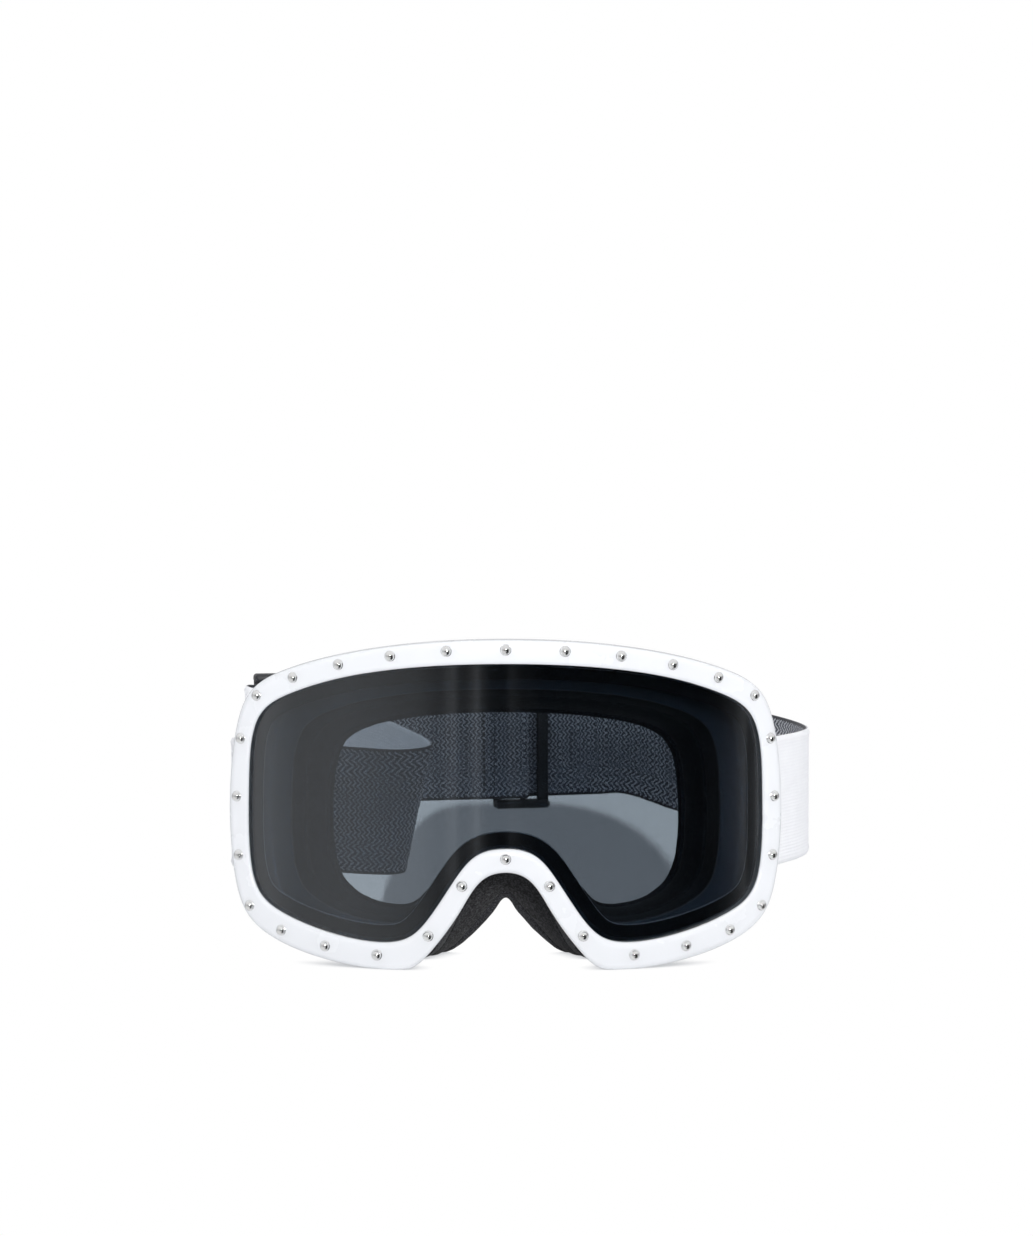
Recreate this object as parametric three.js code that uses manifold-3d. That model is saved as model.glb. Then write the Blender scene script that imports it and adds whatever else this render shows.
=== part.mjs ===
// Ski goggles with a studded frame: double lens, vented chassis, three-layer face foam,
// and an elastic strap in two lengths that are joined by two sliders.
// Millimetres, +Z up, the lens faces -Y. Solids are built with y = 0 at the middle of the
// rim's front, and the group is then moved so that the origin is at the bottom centre.
import * as THREE from 'three';
import { mergeVertices } from 'three/addons/utils/BufferGeometryUtils.js';
import Module from 'manifold-3d';

const wasm = await Module();
wasm.setup();

// ---- driving dimensions -------------------------------------------------------------

const FRAME_WIDTH = 179.6;
const FRAME_HEIGHT = 105;
const FRONT_RADIUS = 158;       // curve of the rim and the lenses, seen from above
const SOLE_TRIM = 0.5;          // what the flats at the bottom take off the round outline

const RIM_TOP = 7.6;            // rim widths, from the outside to the lens opening
const RIM_SIDE = 6.8;
const RIM_BOTTOM = 8.4;
const RIM_PLATE = 2.6;          // thickness of the rim's front
const RIM_WALL = 2.5;           // thickness of the rim's outer wall
const RIM_DEPTH = 11;           // how far the outer wall reaches back
const RIM_ROUND = 1.6;

const STUD_LINE_TOP = 0.42;     // how far across the rim the studs stand, above the lobes
const STUD_LINE_BOTTOM = 0.57;  // and round the lobes and the nose arch
const STUD_RADIUS = 1.65;
const STUD_SHANK = 0.8;
const STUD_SINK = 1.4;
const STUD_CLEARANCE = 0.15;
const STUD_SIDES = 10;

const LENS_THICKNESS = 1.4;
const LENS_OVERLAP = 2.6;       // how far the outer lens reaches behind the rim
const SPACER_THICKNESS = 4;
const SPACER_WIDTH = 4;
const SPACER_INSET = 1;
const INNER_LENS_THICKNESS = 1;
const GAP = 0.3;                // clearance between pieces that seat on each other

const CHASSIS_WALL = 2;
const CHASSIS_FRONT = 2;        // depth behind the rim's front where the chassis starts to taper
const CHASSIS_DEPTH = 22;       // rear flange, at the middle of the goggles
const CHASSIS_RADIUS = 135;     // curve of the rear flange, seen from above
const FLANGE_THICKNESS = 2;
const FLANGE_SIDE = 9.8;        // how far the flange stays inside the rim's outline
const FLANGE_TOP = 7;
const FLANGE_BOTTOM = 3;
const VENT_COUNT = 7;
const VENT_WIDTH = 9;
const VENT_PITCH = 13;
const VENT_FOAM = 1.5;

const FACE_WIDTH = 114;         // opening for the eyes, at the skin
const FACE_TOP_MARGIN = 25.8;   // from the rim's top down to the opening
const FACE_BOTTOM_MARGIN = 15.5;
const FACE_DEPTH = 40;          // skin side of the fleece, at the middle
const FACE_RADIUS = 110;
const FOAM_SIDE = 13.8;         // how far the foam's skin side stays inside the rim's outline
const FOAM_TOP = 10;
const FOAM_BASE_SHARE = 0.32;   // shares of the foam's depth
const FOAM_MIDDLE_SHARE = 0.86;

const STRAP_WIDTH = 43.5;
const STRAP_THICKNESS = 1.5;
const STRAP_FRONT_HEIGHT = 47.5;
const STRAP_BACK_HEIGHT = 59.5;
const STRAP_FOLD_HEIGHT = 42;
const STRAP_BACK = 113;         // from the clips' bars back to the straight stretch's middle
const STRAP_BACK_TURN = 13.3;   // degrees that this stretch is turned from the X axis
const STRAP_BULGE = 17.5;        // how far the right side bulges past the rim
const LAYER_OFFSET = 1;         // each webbing's distance from the middle of the doubled stretch
const LAP_OFFSET = 5.4;         // the same where it passes over a sewn tab
const LAP_MARGIN = 1;           // left between that step and what slides up to it
const TAB_THICKNESS = 1;
const TAB_LENGTH = 24;
const SLIDER_TRAVEL = 20;

const SLIDER_LENGTH = 20.6;
const SLIDER_BAR = 3.5;
const SLIDER_BAR_THICKNESS = 1.6;
const SLIDER_RAIL = 3.2;
const SLIDER_SLACK = 0.8;
const SLIDER_PIN_RADIUS = 1;
const SLIDER_RIGHT_AT = 6;      // places along the straight back stretch
const SLIDER_LEFT_AT = -84;

const CLIP_THICKNESS = 2.4;
const CLIP_REACH = 17;          // from the pivot to the bar that the webbing loops round
const CLIP_BAR_RADIUS = 1.5;
const CLIP_ARM = 3.2;
const CLIP_HUB_RADIUS = 4.6;
const PIVOT_BEHIND = 4;         // from the rim's rear edge, at its side, back to the pivot
const PIN_RADIUS = 2;
const PIN_HEAD_RADIUS = 3.1;
const PIN_HEAD = 1.2;
const PIN_CLEARANCE = 0.15;
const BOSS_RADIUS = 4.2;
const BOSS_ROOT = 1;            // how far the boss reaches into the flange's edge

const STEPS_PER_POINT = 3;      // stations from one point of an outline to the next
const PLATE_STEPS = 44;         // facets across a curved lens

// ---- materials ----------------------------------------------------------------------

const finish = (color, roughness, metalness, extra = {}) =>
  new THREE.MeshStandardMaterial({ color, roughness, metalness, ...extra });

const WHITE_PLASTIC = finish(0xf2f3f5, 0.3, 0);
const BLACK_PLASTIC = finish(0x17181a, 0.5, 0);
const SLIDER_PLASTIC = finish(0x26272a, 0.45, 0);
const CHROME = finish(0xd8dadd, 0.15, 1);
const STEEL = finish(0xa8abb0, 0.35, 1);
const SMOKE_LENS = finish(0x1c1f24, 0.05, 0, { transparent: true, opacity: 0.75 });
const CLEAR_LENS = finish(0xd8dde2, 0.05, 0, { transparent: true, opacity: 0.2 });
const DARK_FOAM = finish(0x222225, 0.95, 0);
const FLEECE = finish(0x2c2c30, 1, 0);
const WEBBING = finish(0xe9eaee, 0.85, 0);

// ---- solids from three.js meshes ----------------------------------------------------

function toManifold(geometry) {
  const bare = geometry.clone();
  bare.deleteAttribute('normal');
  bare.deleteAttribute('uv');
  const merged = mergeVertices(bare, 1e-5);
  return new wasm.Manifold(new wasm.Mesh({
    numProp: 3,
    vertProperties: new Float32Array(merged.attributes.position.array),
    triVerts: new Uint32Array(merged.index.array),
  }));
}

function toGeometry(solid) {
  const mesh = solid.getMesh();
  const geometry = new THREE.BufferGeometry();
  geometry.setAttribute('position', new THREE.BufferAttribute(mesh.vertProperties, 3));
  geometry.setIndex(new THREE.BufferAttribute(mesh.triVerts, 1));
  return geometry;
}

// A box between two corners.
function boxBetween(low, high) {
  const size = high.clone().sub(low);
  const box = new THREE.BoxGeometry(size.x, size.y, size.z);
  const middle = low.clone().add(high).multiplyScalar(0.5);
  return box.translate(middle.x, middle.y, middle.z);
}

// A cylinder along X between two places.
function rodAlongX(radius, fromX, toX, y, z, sides = 24) {
  const rod = new THREE.CylinderGeometry(radius, radius, Math.abs(toX - fromX), sides);
  return rod.rotateZ(Math.PI / 2).translate((fromX + toX) / 2, y, z);
}

// Joins rings of points into one closed skin. A ring that meets itself again is a torus;
// otherwise the first and last rings are capped, and they must be convex.
function loft(rings, closed) {
  const count = rings[0].length;
  const points = rings.flat();
  const positions = points.flatMap((p) => [p.x, p.y, p.z]);
  const index = [];
  const last = closed ? rings.length : rings.length - 1;
  for (let i = 0; i < last; i++) {
    const here = i * count;
    const next = ((i + 1) % rings.length) * count;
    for (let j = 0; j < count; j++) {
      const k = (j + 1) % count;
      const [a, b, c, d] = [here + j, here + k, next + k, next + j];
      const split = points[a].distanceTo(points[c]) < points[b].distanceTo(points[d]);
      index.push(...(split ? [a, b, c, a, c, d] : [a, b, d, b, c, d]));
    }
  }
  if (!closed) {
    const end = (rings.length - 1) * count;
    for (let j = 1; j < count - 1; j++) {
      index.push(0, j + 1, j);
      index.push(end, end + j, end + j + 1);
    }
  }
  const geometry = new THREE.BufferGeometry();
  geometry.setAttribute('position', new THREE.Float32BufferAttribute(positions, 3));
  geometry.setIndex(index);
  return facesOut(geometry);
}

// Turns every face round if the closed skin is inside out.
function facesOut(geometry) {
  const p = geometry.attributes.position;
  const order = geometry.index.array;
  const a = new THREE.Vector3();
  const b = new THREE.Vector3();
  const c = new THREE.Vector3();
  let volume = 0;
  for (let i = 0; i < order.length; i += 3) {
    a.fromBufferAttribute(p, order[i]);
    b.fromBufferAttribute(p, order[i + 1]);
    c.fromBufferAttribute(p, order[i + 2]);
    volume += a.dot(b.cross(c));
  }
  if (volume > 0) return geometry;
  const turned = [];
  for (let i = 0; i < order.length; i += 3) turned.push(order[i], order[i + 2], order[i + 1]);
  geometry.setIndex(turned);
  return geometry;
}

// ---- outlines, seen from the front ---------------------------------------------------

// Half outlines from the top middle, round the side and the lower lobe, to the top of the
// nose arch: x as a share of the half width, z as a share of the height.
const RIM_SIDE_SHAPE = [
  [0, 1], [0.3, 0.989], [0.58, 0.953], [0.79, 0.9], [0.918, 0.84], [0.973, 0.724], [1, 0.505],
  [0.987, 0.295], [0.942, 0.147], [0.824, 0.072], [0.624, 0.02],
];
const RIM_SHAPE = [
  ...RIM_SIDE_SHAPE,
  [0.445, 0], [0.336, 0.003], [0.267, 0.056], [0.166, 0.17], [0.089, 0.28], [0, 0.303],
];
const FLANGE_SHAPE = [
  ...RIM_SIDE_SHAPE,
  [0.45, 0], [0.359, 0.013], [0.302, 0.079], [0.197, 0.208], [0.105, 0.324], [0, 0.344],
];
const FOAM_SHAPE = [
  ...RIM_SIDE_SHAPE,
  [0.47, 0], [0.315, -0.004], [0.226, 0.014], [0.137, 0.069], [0.057, 0.138], [0, 0.194],
];
const LENS_SHAPE = [
  [0, 1], [0.325, 0.989], [0.604, 0.952], [0.798, 0.897], [0.94, 0.829], [0.99, 0.715],
  [1, 0.501], [0.998, 0.299], [0.961, 0.147], [0.834, 0.074], [0.66, 0.022], [0.506, 0],
  [0.393, 0.008], [0.319, 0.057], [0.216, 0.199], [0.119, 0.321], [0, 0.343],
];
const FACE_SHAPE = [
  [0, 1], [0.351, 0.989], [0.632, 0.954], [0.807, 0.91], [0.926, 0.84], [0.982, 0.7],
  [1, 0.495], [0.993, 0.29], [0.947, 0.133], [0.842, 0.047], [0.719, 0.008], [0.614, 0],
  [0.535, 0.011], [0.474, 0.055], [0.325, 0.212], [0.167, 0.342], [0, 0.374],
];

const LOOP_STEPS = STEPS_PER_POINT * (RIM_SHAPE.length * 2 - 2);

// The whole outline, as LOOP_STEPS points (x, z) that match from one outline to another.
function outline(shape, halfWidth, bottom, top) {
  const place = ([x, z], side) => new THREE.Vector3(side * x * halfWidth, bottom + z * (top - bottom), 0);
  const right = shape.map((point) => place(point, 1));
  const left = shape.slice(1, -1).reverse().map((point) => place(point, -1));
  const curve = new THREE.CatmullRomCurve3([...right, ...left], true, 'centripetal');
  const points = [];
  for (let i = 0; i < LOOP_STEPS; i++) {
    const p = curve.getPoint(i / LOOP_STEPS);
    points.push(new THREE.Vector2(p.x, p.y));
  }
  return points;
}

// The outline moved inwards by a distance.
function inset(points, distance) {
  return points.map((p, i) => {
    const before = points[(i + points.length - 1) % points.length];
    const after = points[(i + 1) % points.length];
    const along = after.clone().sub(before).normalize();
    return new THREE.Vector2(p.x + along.y * distance, p.y - along.x * distance);
  });
}

const between = (from, to, share) => from.map((p, i) => p.clone().lerp(to[i], share));

const HALF = FRAME_WIDTH / 2;
const RIM_OUTLINE = outline(RIM_SHAPE, HALF, -SOLE_TRIM, FRAME_HEIGHT);
const LENS_OUTLINE = outline(LENS_SHAPE, HALF - RIM_SIDE, RIM_BOTTOM, FRAME_HEIGHT - RIM_TOP);
const FLANGE_OUTLINE =
  outline(FLANGE_SHAPE, HALF - FLANGE_SIDE, FLANGE_BOTTOM, FRAME_HEIGHT - FLANGE_TOP);
const FOAM_OUTLINE = outline(FOAM_SHAPE, HALF - FOAM_SIDE, -SOLE_TRIM, FRAME_HEIGHT - FOAM_TOP);
const FACE_OUTLINE =
  outline(FACE_SHAPE, FACE_WIDTH / 2, FACE_BOTTOM_MARGIN, FRAME_HEIGHT - FACE_TOP_MARGIN);
const STEP_OUTLINE = between(LENS_OUTLINE, FACE_OUTLINE, 0.5);

// ---- curved surfaces, seen from above ------------------------------------------------

// Distance behind the flat front of a surface that is part of a cylinder about Z.
const bowed = (x, radius) => radius - Math.sqrt(radius * radius - x * x);
const behindRim = (depth) => (x) => bowed(x, FRONT_RADIUS) + depth;
const chassisRear = (ahead) => (x) => CHASSIS_DEPTH - ahead + bowed(x, CHASSIS_RADIUS);
const skinSide = (x) => FACE_DEPTH + bowed(x, FACE_RADIUS);
const onSurface = (p, surface) => new THREE.Vector3(p.x, surface(p.x), p.y);

// A ring whose section is a closed list of [outline, surface] pairs.
function ring(section) {
  const rings = [];
  for (let i = 0; i < LOOP_STEPS; i++) {
    rings.push(section.map(([points, surface]) => onSurface(points[i], surface)));
  }
  return loft(rings, true);
}

// A plate that fills an outline and follows the front's curve.
function curvedPlate(points, depth, thickness) {
  const shape = new THREE.Shape(points);
  const prism = new THREE.ExtrudeGeometry(shape, { depth: FRAME_WIDTH, bevelEnabled: false });
  prism.rotateX(Math.PI / 2).translate(0, FRAME_WIDTH * 0.75, 0);
  const near = [];
  const far = [];
  for (let i = 0; i <= PLATE_STEPS; i++) {
    const x = HALF * (2 * i / PLATE_STEPS - 1);
    near.push(new THREE.Vector2(x, behindRim(depth)(x)));
    far.unshift(new THREE.Vector2(x, behindRim(depth + thickness)(x)));
  }
  const arc = new THREE.Shape([...near, ...far]);
  const slab = new THREE.ExtrudeGeometry(arc, { depth: FRAME_HEIGHT * 1.5, bevelEnabled: false });
  slab.translate(0, 0, -FRAME_HEIGHT * 0.25);
  return toGeometry(toManifold(prism).intersect(toManifold(slab)));
}

// Cuts a solid off flat where it would reach below what the goggles stand on.
function flatSole(geometry) {
  const below = boxBetween(
    new THREE.Vector3(-FRAME_WIDTH, -FRAME_WIDTH, -FRAME_HEIGHT),
    new THREE.Vector3(FRAME_WIDTH, FRAME_WIDTH * 2, 0));
  return toManifold(geometry).subtract(toManifold(below));
}

// ---- rim and studs --------------------------------------------------------------------

function outerFrame() {
  const section = [
    [inset(RIM_OUTLINE, RIM_ROUND), behindRim(0)],
    [inset(RIM_OUTLINE, RIM_ROUND * 0.3), behindRim(RIM_ROUND * 0.3)],
    [RIM_OUTLINE, behindRim(RIM_ROUND)],
    [RIM_OUTLINE, behindRim(RIM_DEPTH)],
    [inset(RIM_OUTLINE, RIM_WALL), behindRim(RIM_DEPTH)],
    [inset(RIM_OUTLINE, RIM_WALL), behindRim(RIM_PLATE)],
    [LENS_OUTLINE, behindRim(RIM_PLATE)],
    [LENS_OUTLINE, behindRim(RIM_ROUND / 2)],
    [between(LENS_OUTLINE, RIM_OUTLINE, 0.12), behindRim(0)],
  ];
  let solid = flatSole(ring(section));
  for (const seat of studPlaces()) {
    const hole = new THREE.CylinderGeometry(
      STUD_SHANK + STUD_CLEARANCE, STUD_SHANK + STUD_CLEARANCE, STUD_SINK * 2, STUD_SIDES);
    solid = solid.subtract(toManifold(placeOnRim(hole, seat)));
  }
  return toGeometry(solid);
}

// Distances from stud to stud along half the rim, from the top middle to the nose arch,
// compared with their mean.
const STUD_GAPS = [
  1.11, 1.06, 1, 0.92, 0.81, 0.91, 1.12, 1.13, 0.99, 0.77, 0.89, 1, 1.11, 1.14, 1.04,
];

// Stud centres on a line part of the way across the rim, clockwise from the top middle.
function studPlaces() {
  const half = LOOP_STEPS / 2;
  const line = RIM_OUTLINE.slice(0, half + 1).map((p, i) => {
    const low = THREE.MathUtils.smoothstep(i / half, 0.5, 0.7);
    const share = THREE.MathUtils.lerp(STUD_LINE_TOP, STUD_LINE_BOTTOM, low);
    return p.clone().lerp(LENS_OUTLINE[i], share);
  });
  const lengths = [0];
  for (let i = 1; i < line.length; i++) {
    lengths.push(lengths[i - 1] + line[i].distanceTo(line[i - 1]));
  }
  const gaps = STUD_GAPS.reduce((sum, gap) => sum + gap, 0);
  const right = [line[0]];
  let at = 0;
  for (const gap of STUD_GAPS.slice(0, -1)) {
    at += gap / gaps * lengths[line.length - 1];
    const i = lengths.findIndex((length) => length > at) - 1;
    const share = (at - lengths[i]) / (lengths[i + 1] - lengths[i]);
    right.push(line[i].clone().lerp(line[i + 1], share));
  }
  right.push(line[line.length - 1]);
  const left = right.slice(1, -1).reverse().map((p) => new THREE.Vector2(-p.x, p.y));
  return [...right, ...left];
}

// Turns a shape that stands on the XZ plane along Y so that it stands on the rim's front.
function placeOnRim(geometry, seat) {
  const turn = Math.asin(seat.x / FRONT_RADIUS);
  return geometry.rotateX(Math.PI).rotateZ(turn).translate(seat.x, behindRim(0)(seat.x), seat.y);
}

function stud(seat) {
  const profile = [new THREE.Vector2(0, -STUD_SINK)];
  profile.push(new THREE.Vector2(STUD_SHANK, -STUD_SINK));
  profile.push(new THREE.Vector2(STUD_SHANK, STUD_CLEARANCE));
  const steps = 3;
  for (let i = 0; i < steps; i++) {
    const angle = (i / steps) * Math.PI / 2;
    profile.push(new THREE.Vector2(
      STUD_RADIUS * Math.cos(angle), STUD_CLEARANCE + STUD_RADIUS * Math.sin(angle)));
  }
  profile.push(new THREE.Vector2(0, STUD_CLEARANCE + STUD_RADIUS));
  return placeOnRim(new THREE.LatheGeometry(profile, STUD_SIDES), seat);
}

// ---- lenses, chassis and foam ---------------------------------------------------------

const OUTER_LENS_DEPTH = RIM_PLATE + GAP;
const SPACER_DEPTH = OUTER_LENS_DEPTH + LENS_THICKNESS + GAP;
const INNER_LENS_DEPTH = SPACER_DEPTH + SPACER_THICKNESS + GAP;

function lensSpacer() {
  const outside = inset(LENS_OUTLINE, SPACER_INSET);
  const inside = inset(LENS_OUTLINE, SPACER_INSET + SPACER_WIDTH);
  const front = behindRim(SPACER_DEPTH);
  const back = behindRim(SPACER_DEPTH + SPACER_THICKNESS);
  return ring([[outside, front], [outside, back], [inside, back], [inside, front]]);
}

const CHASSIS_OUTLINE = inset(RIM_OUTLINE, RIM_WALL + GAP);
const CHASSIS_INSIDE = inset(RIM_OUTLINE, RIM_WALL + GAP + CHASSIS_WALL);
const CHASSIS_STEP = between(FLANGE_OUTLINE, STEP_OUTLINE, 0.25);

function chassis() {
  const front = behindRim(SPACER_DEPTH);
  const bend = behindRim(SPACER_DEPTH + CHASSIS_FRONT);
  const section = [
    [CHASSIS_OUTLINE, front],
    [CHASSIS_OUTLINE, bend],
    [FLANGE_OUTLINE, chassisRear(FLANGE_THICKNESS)],
    [FLANGE_OUTLINE, chassisRear(0)],
    [STEP_OUTLINE, chassisRear(0)],
    [STEP_OUTLINE, chassisRear(FLANGE_THICKNESS)],
    [CHASSIS_STEP, chassisRear(FLANGE_THICKNESS)],
    [CHASSIS_INSIDE, bend],
    [CHASSIS_INSIDE, front],
  ];
  let solid = toManifold(ring(section));
  for (const seat of ventPlaces()) solid = solid.subtract(toManifold(vent(seat)));
  for (const side of [-1, 1]) {
    const outside = side * (CLIP_INSIDE - GAP);
    const inside = side * (HALF - FLANGE_SIDE - BOSS_ROOT);
    const boss = rodAlongX(BOSS_RADIUS, inside, outside, PIVOT_DEPTH, STRAP_FRONT_HEIGHT);
    const bore = rodAlongX(PIN_RADIUS + PIN_CLEARANCE, side * PIN_END, side * HALF,
      PIVOT_DEPTH, STRAP_FRONT_HEIGHT);
    const pocket = rodAlongX(CLIP_HUB_RADIUS + 1, outside, side * HALF,
      PIVOT_DEPTH, STRAP_FRONT_HEIGHT);
    solid = solid.subtract(toManifold(pocket)).add(toManifold(boss)).subtract(toManifold(bore));
  }
  return toGeometry(solid);
}

// Slots through the top and bottom walls, between the rim and the rear flange.
function ventPlaces() {
  const places = [];
  for (let i = 0; i < VENT_COUNT; i++) {
    places.push({ x: (i - (VENT_COUNT - 1) / 2) * VENT_PITCH, z: FRAME_HEIGHT });
  }
  for (const side of [-1, 1]) {
    for (const i of [0, 1]) {
      places.push({ x: side * (FRAME_WIDTH * 0.26 + i * VENT_PITCH), z: 0 });
    }
  }
  return places;
}

function vent({ x, z }) {
  const start = behindRim(RIM_DEPTH)(x) + 1.5;
  const end = chassisRear(FLANGE_THICKNESS)(x) - 2;
  const reach = FLANGE_TOP * 2 + CHASSIS_WALL;
  return boxBetween(
    new THREE.Vector3(x - VENT_WIDTH / 2, start, z - reach),
    new THREE.Vector3(x + VENT_WIDTH / 2, end, z + reach));
}

// A strip of vent foam along the outside of the tapered wall, between two outline points.
function ventFoam(first, last) {
  const bend = behindRim(SPACER_DEPTH + CHASSIS_FRONT);
  const rings = [];
  for (let k = first * STEPS_PER_POINT; k <= last * STEPS_PER_POINT; k++) {
    const i = (k + LOOP_STEPS) % LOOP_STEPS;
    const front = onSurface(CHASSIS_OUTLINE[i], bend);
    const back = onSurface(FLANGE_OUTLINE[i], chassisRear(FLANGE_THICKNESS));
    const lift = Math.sign(front.z - FRAME_HEIGHT / 2);
    const share = (behindRim(RIM_DEPTH + GAP)(front.x) - front.y) / (back.y - front.y);
    const start = front.clone().lerp(back, share);
    const end = front.clone().lerp(back, 0.95);
    const raise = (p, by) => new THREE.Vector3(p.x, p.y, p.z + lift * by);
    rings.push([
      raise(start, GAP * 1.5), raise(start, GAP * 1.5 + VENT_FOAM),
      raise(end, GAP * 1.5 + VENT_FOAM), raise(end, GAP * 1.5),
    ]);
  }
  return loft(rings, false);
}

// One layer of the face foam between two shares of its depth.
function foamLayer(from, to, clearance) {
  const surfaceAt = (share) => (x) => {
    const start = chassisRear(-GAP)(x);
    return start + (skinSide(x) - start) * share;
  };
  const front = (x) => surfaceAt(from)(x) + clearance;
  const back = surfaceAt(to);
  let solid = flatSole(ring([
    [between(FLANGE_OUTLINE, FOAM_OUTLINE, from), front],
    [between(FLANGE_OUTLINE, FOAM_OUTLINE, to), back],
    [between(STEP_OUTLINE, FACE_OUTLINE, to), back],
    [between(STEP_OUTLINE, FACE_OUTLINE, from), front],
  ]));
  // room for the pivots' bosses, where they reach this far back
  for (const side of [-1, 1]) {
    const room = rodAlongX(BOSS_RADIUS + GAP, side * (HALF - FLANGE_SIDE - BOSS_ROOT - GAP),
      side * HALF, PIVOT_DEPTH, STRAP_FRONT_HEIGHT);
    solid = solid.subtract(toManifold(room));
  }
  return toGeometry(solid);
}

// ---- strap clips and their pivots -----------------------------------------------------

const CLIP_INSIDE = HALF - 5.5;
const CLIP_OUTSIDE = CLIP_INSIDE + CLIP_THICKNESS;
const CLIP_BAR_X = CLIP_OUTSIDE - CLIP_BAR_RADIUS + 0.3;
const PIVOT_DEPTH = behindRim(RIM_DEPTH)(HALF) + PIVOT_BEHIND;
const CLIP_BAR_Y = PIVOT_DEPTH + CLIP_REACH;
const PIN_END = CLIP_INSIDE - 5;

// A flat yoke that widens from the pivot's hub to the two ends of a round bar.
function strapClip(side) {
  const halfSpan = STRAP_WIDTH / 2 + SLIDER_SLACK;
  const arm = new THREE.Shape();
  const outer = halfSpan + CLIP_ARM;
  arm.moveTo(-CLIP_HUB_RADIUS, 0);
  arm.absarc(0, 0, CLIP_HUB_RADIUS, Math.PI, Math.PI * 0.58, true);
  arm.lineTo(CLIP_REACH - 6, outer);
  arm.lineTo(CLIP_REACH + CLIP_BAR_RADIUS, outer);
  arm.lineTo(CLIP_REACH + CLIP_BAR_RADIUS, halfSpan);
  arm.lineTo(CLIP_REACH - 4, halfSpan);
  arm.lineTo(CLIP_HUB_RADIUS, 3.5);
  arm.lineTo(CLIP_HUB_RADIUS, -3.5);
  arm.lineTo(CLIP_REACH - 4, -halfSpan);
  arm.lineTo(CLIP_REACH + CLIP_BAR_RADIUS, -halfSpan);
  arm.lineTo(CLIP_REACH + CLIP_BAR_RADIUS, -outer);
  arm.lineTo(CLIP_REACH - 6, -outer);
  arm.absarc(0, 0, CLIP_HUB_RADIUS, -Math.PI * 0.58, -Math.PI, true);
  const plate = new THREE.ExtrudeGeometry(arm, { depth: CLIP_THICKNESS, bevelEnabled: false });
  plate.rotateX(Math.PI / 2).rotateZ(Math.PI / 2);
  plate.translate(side > 0 ? CLIP_INSIDE : -CLIP_OUTSIDE, PIVOT_DEPTH, STRAP_FRONT_HEIGHT);
  const bar = new THREE.CylinderGeometry(CLIP_BAR_RADIUS, CLIP_BAR_RADIUS, halfSpan * 2 + 1, 16);
  bar.rotateX(Math.PI / 2).translate(side * CLIP_BAR_X, CLIP_BAR_Y, STRAP_FRONT_HEIGHT);
  const bore = rodAlongX(PIN_RADIUS + PIN_CLEARANCE, side * (CLIP_INSIDE - 1),
    side * (CLIP_OUTSIDE + 1), PIVOT_DEPTH, STRAP_FRONT_HEIGHT);
  return toGeometry(toManifold(plate).add(toManifold(bar)).subtract(toManifold(bore)));
}

function pivotPin(side) {
  const shank = rodAlongX(PIN_RADIUS, side * (PIN_END + GAP), side * (CLIP_OUTSIDE + 1),
    PIVOT_DEPTH, STRAP_FRONT_HEIGHT);
  const under = CLIP_OUTSIDE + PIN_CLEARANCE;
  const head = rodAlongX(PIN_HEAD_RADIUS, side * under, side * (under + PIN_HEAD),
    PIVOT_DEPTH, STRAP_FRONT_HEIGHT);
  return toGeometry(toManifold(shank).add(toManifold(head)));
}

// ---- webbing ----------------------------------------------------------------------------

// The straight stretch at the back: along it, and away from the face.
const BACK_TURN = THREE.MathUtils.degToRad(STRAP_BACK_TURN);
const ALONG = new THREE.Vector3(Math.cos(BACK_TURN), Math.sin(BACK_TURN), 0);
const AWAY = new THREE.Vector3(-ALONG.y, ALONG.x, 0);

// A point of the straight stretch, from its distances along it and away from its middle.
function onBack(along, away) {
  return new THREE.Vector3(0, CLIP_BAR_Y + STRAP_BACK, STRAP_BACK_HEIGHT)
    .addScaledVector(ALONG, along)
    .addScaledVector(AWAY, away);
}

// A flat band that stands on edge along a path of points.
function band(path, thickness, width) {
  const rings = path.map((p, i) => {
    const before = path[Math.max(i - 1, 0)];
    const after = path[Math.min(i + 1, path.length - 1)];
    const along = new THREE.Vector3(after.x - before.x, after.y - before.y, 0).normalize();
    const side = new THREE.Vector3(-along.y, along.x, 0).multiplyScalar(thickness / 2);
    const up = new THREE.Vector3(0, 0, width / 2);
    return [
      p.clone().add(side).add(up), p.clone().sub(side).add(up),
      p.clone().sub(side).sub(up), p.clone().add(side).sub(up),
    ];
  });
  return loft(rings, false);
}

function smooth(points, steps) {
  return new THREE.CatmullRomCurve3(points, false, 'centripetal').getPoints(steps);
}

// Half a turn round an upright bar, from one side of it to the other.
function halfTurn(centre, radius, fromAngle, sweep, steps = 8) {
  const points = [];
  for (let i = 0; i <= steps; i++) {
    const angle = fromAngle + sweep * i / steps;
    points.push(new THREE.Vector3(
      centre.x + radius * Math.cos(angle), centre.y + radius * Math.sin(angle), centre.z));
  }
  return points;
}

const CLIP_LOOP = CLIP_BAR_RADIUS + GAP + STRAP_THICKNESS / 2;
const SEWN_TAIL = 14;

// The front end of a webbing: a tail on the inside, then a turn round the clip's bar.
function clipLoop(side) {
  const centre = new THREE.Vector3(side * CLIP_BAR_X, CLIP_BAR_Y, STRAP_FRONT_HEIGHT);
  const tail = new THREE.Vector3(centre.x - side * CLIP_LOOP, CLIP_BAR_Y + SEWN_TAIL, centre.z);
  const sweep = side > 0 ? Math.PI : -Math.PI;
  const start = side > 0 ? Math.PI : 0;
  return [tail, ...halfTurn(centre, CLIP_LOOP, start, sweep)];
}

const at = (x, y, z) => new THREE.Vector3(x, y, z);

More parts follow.
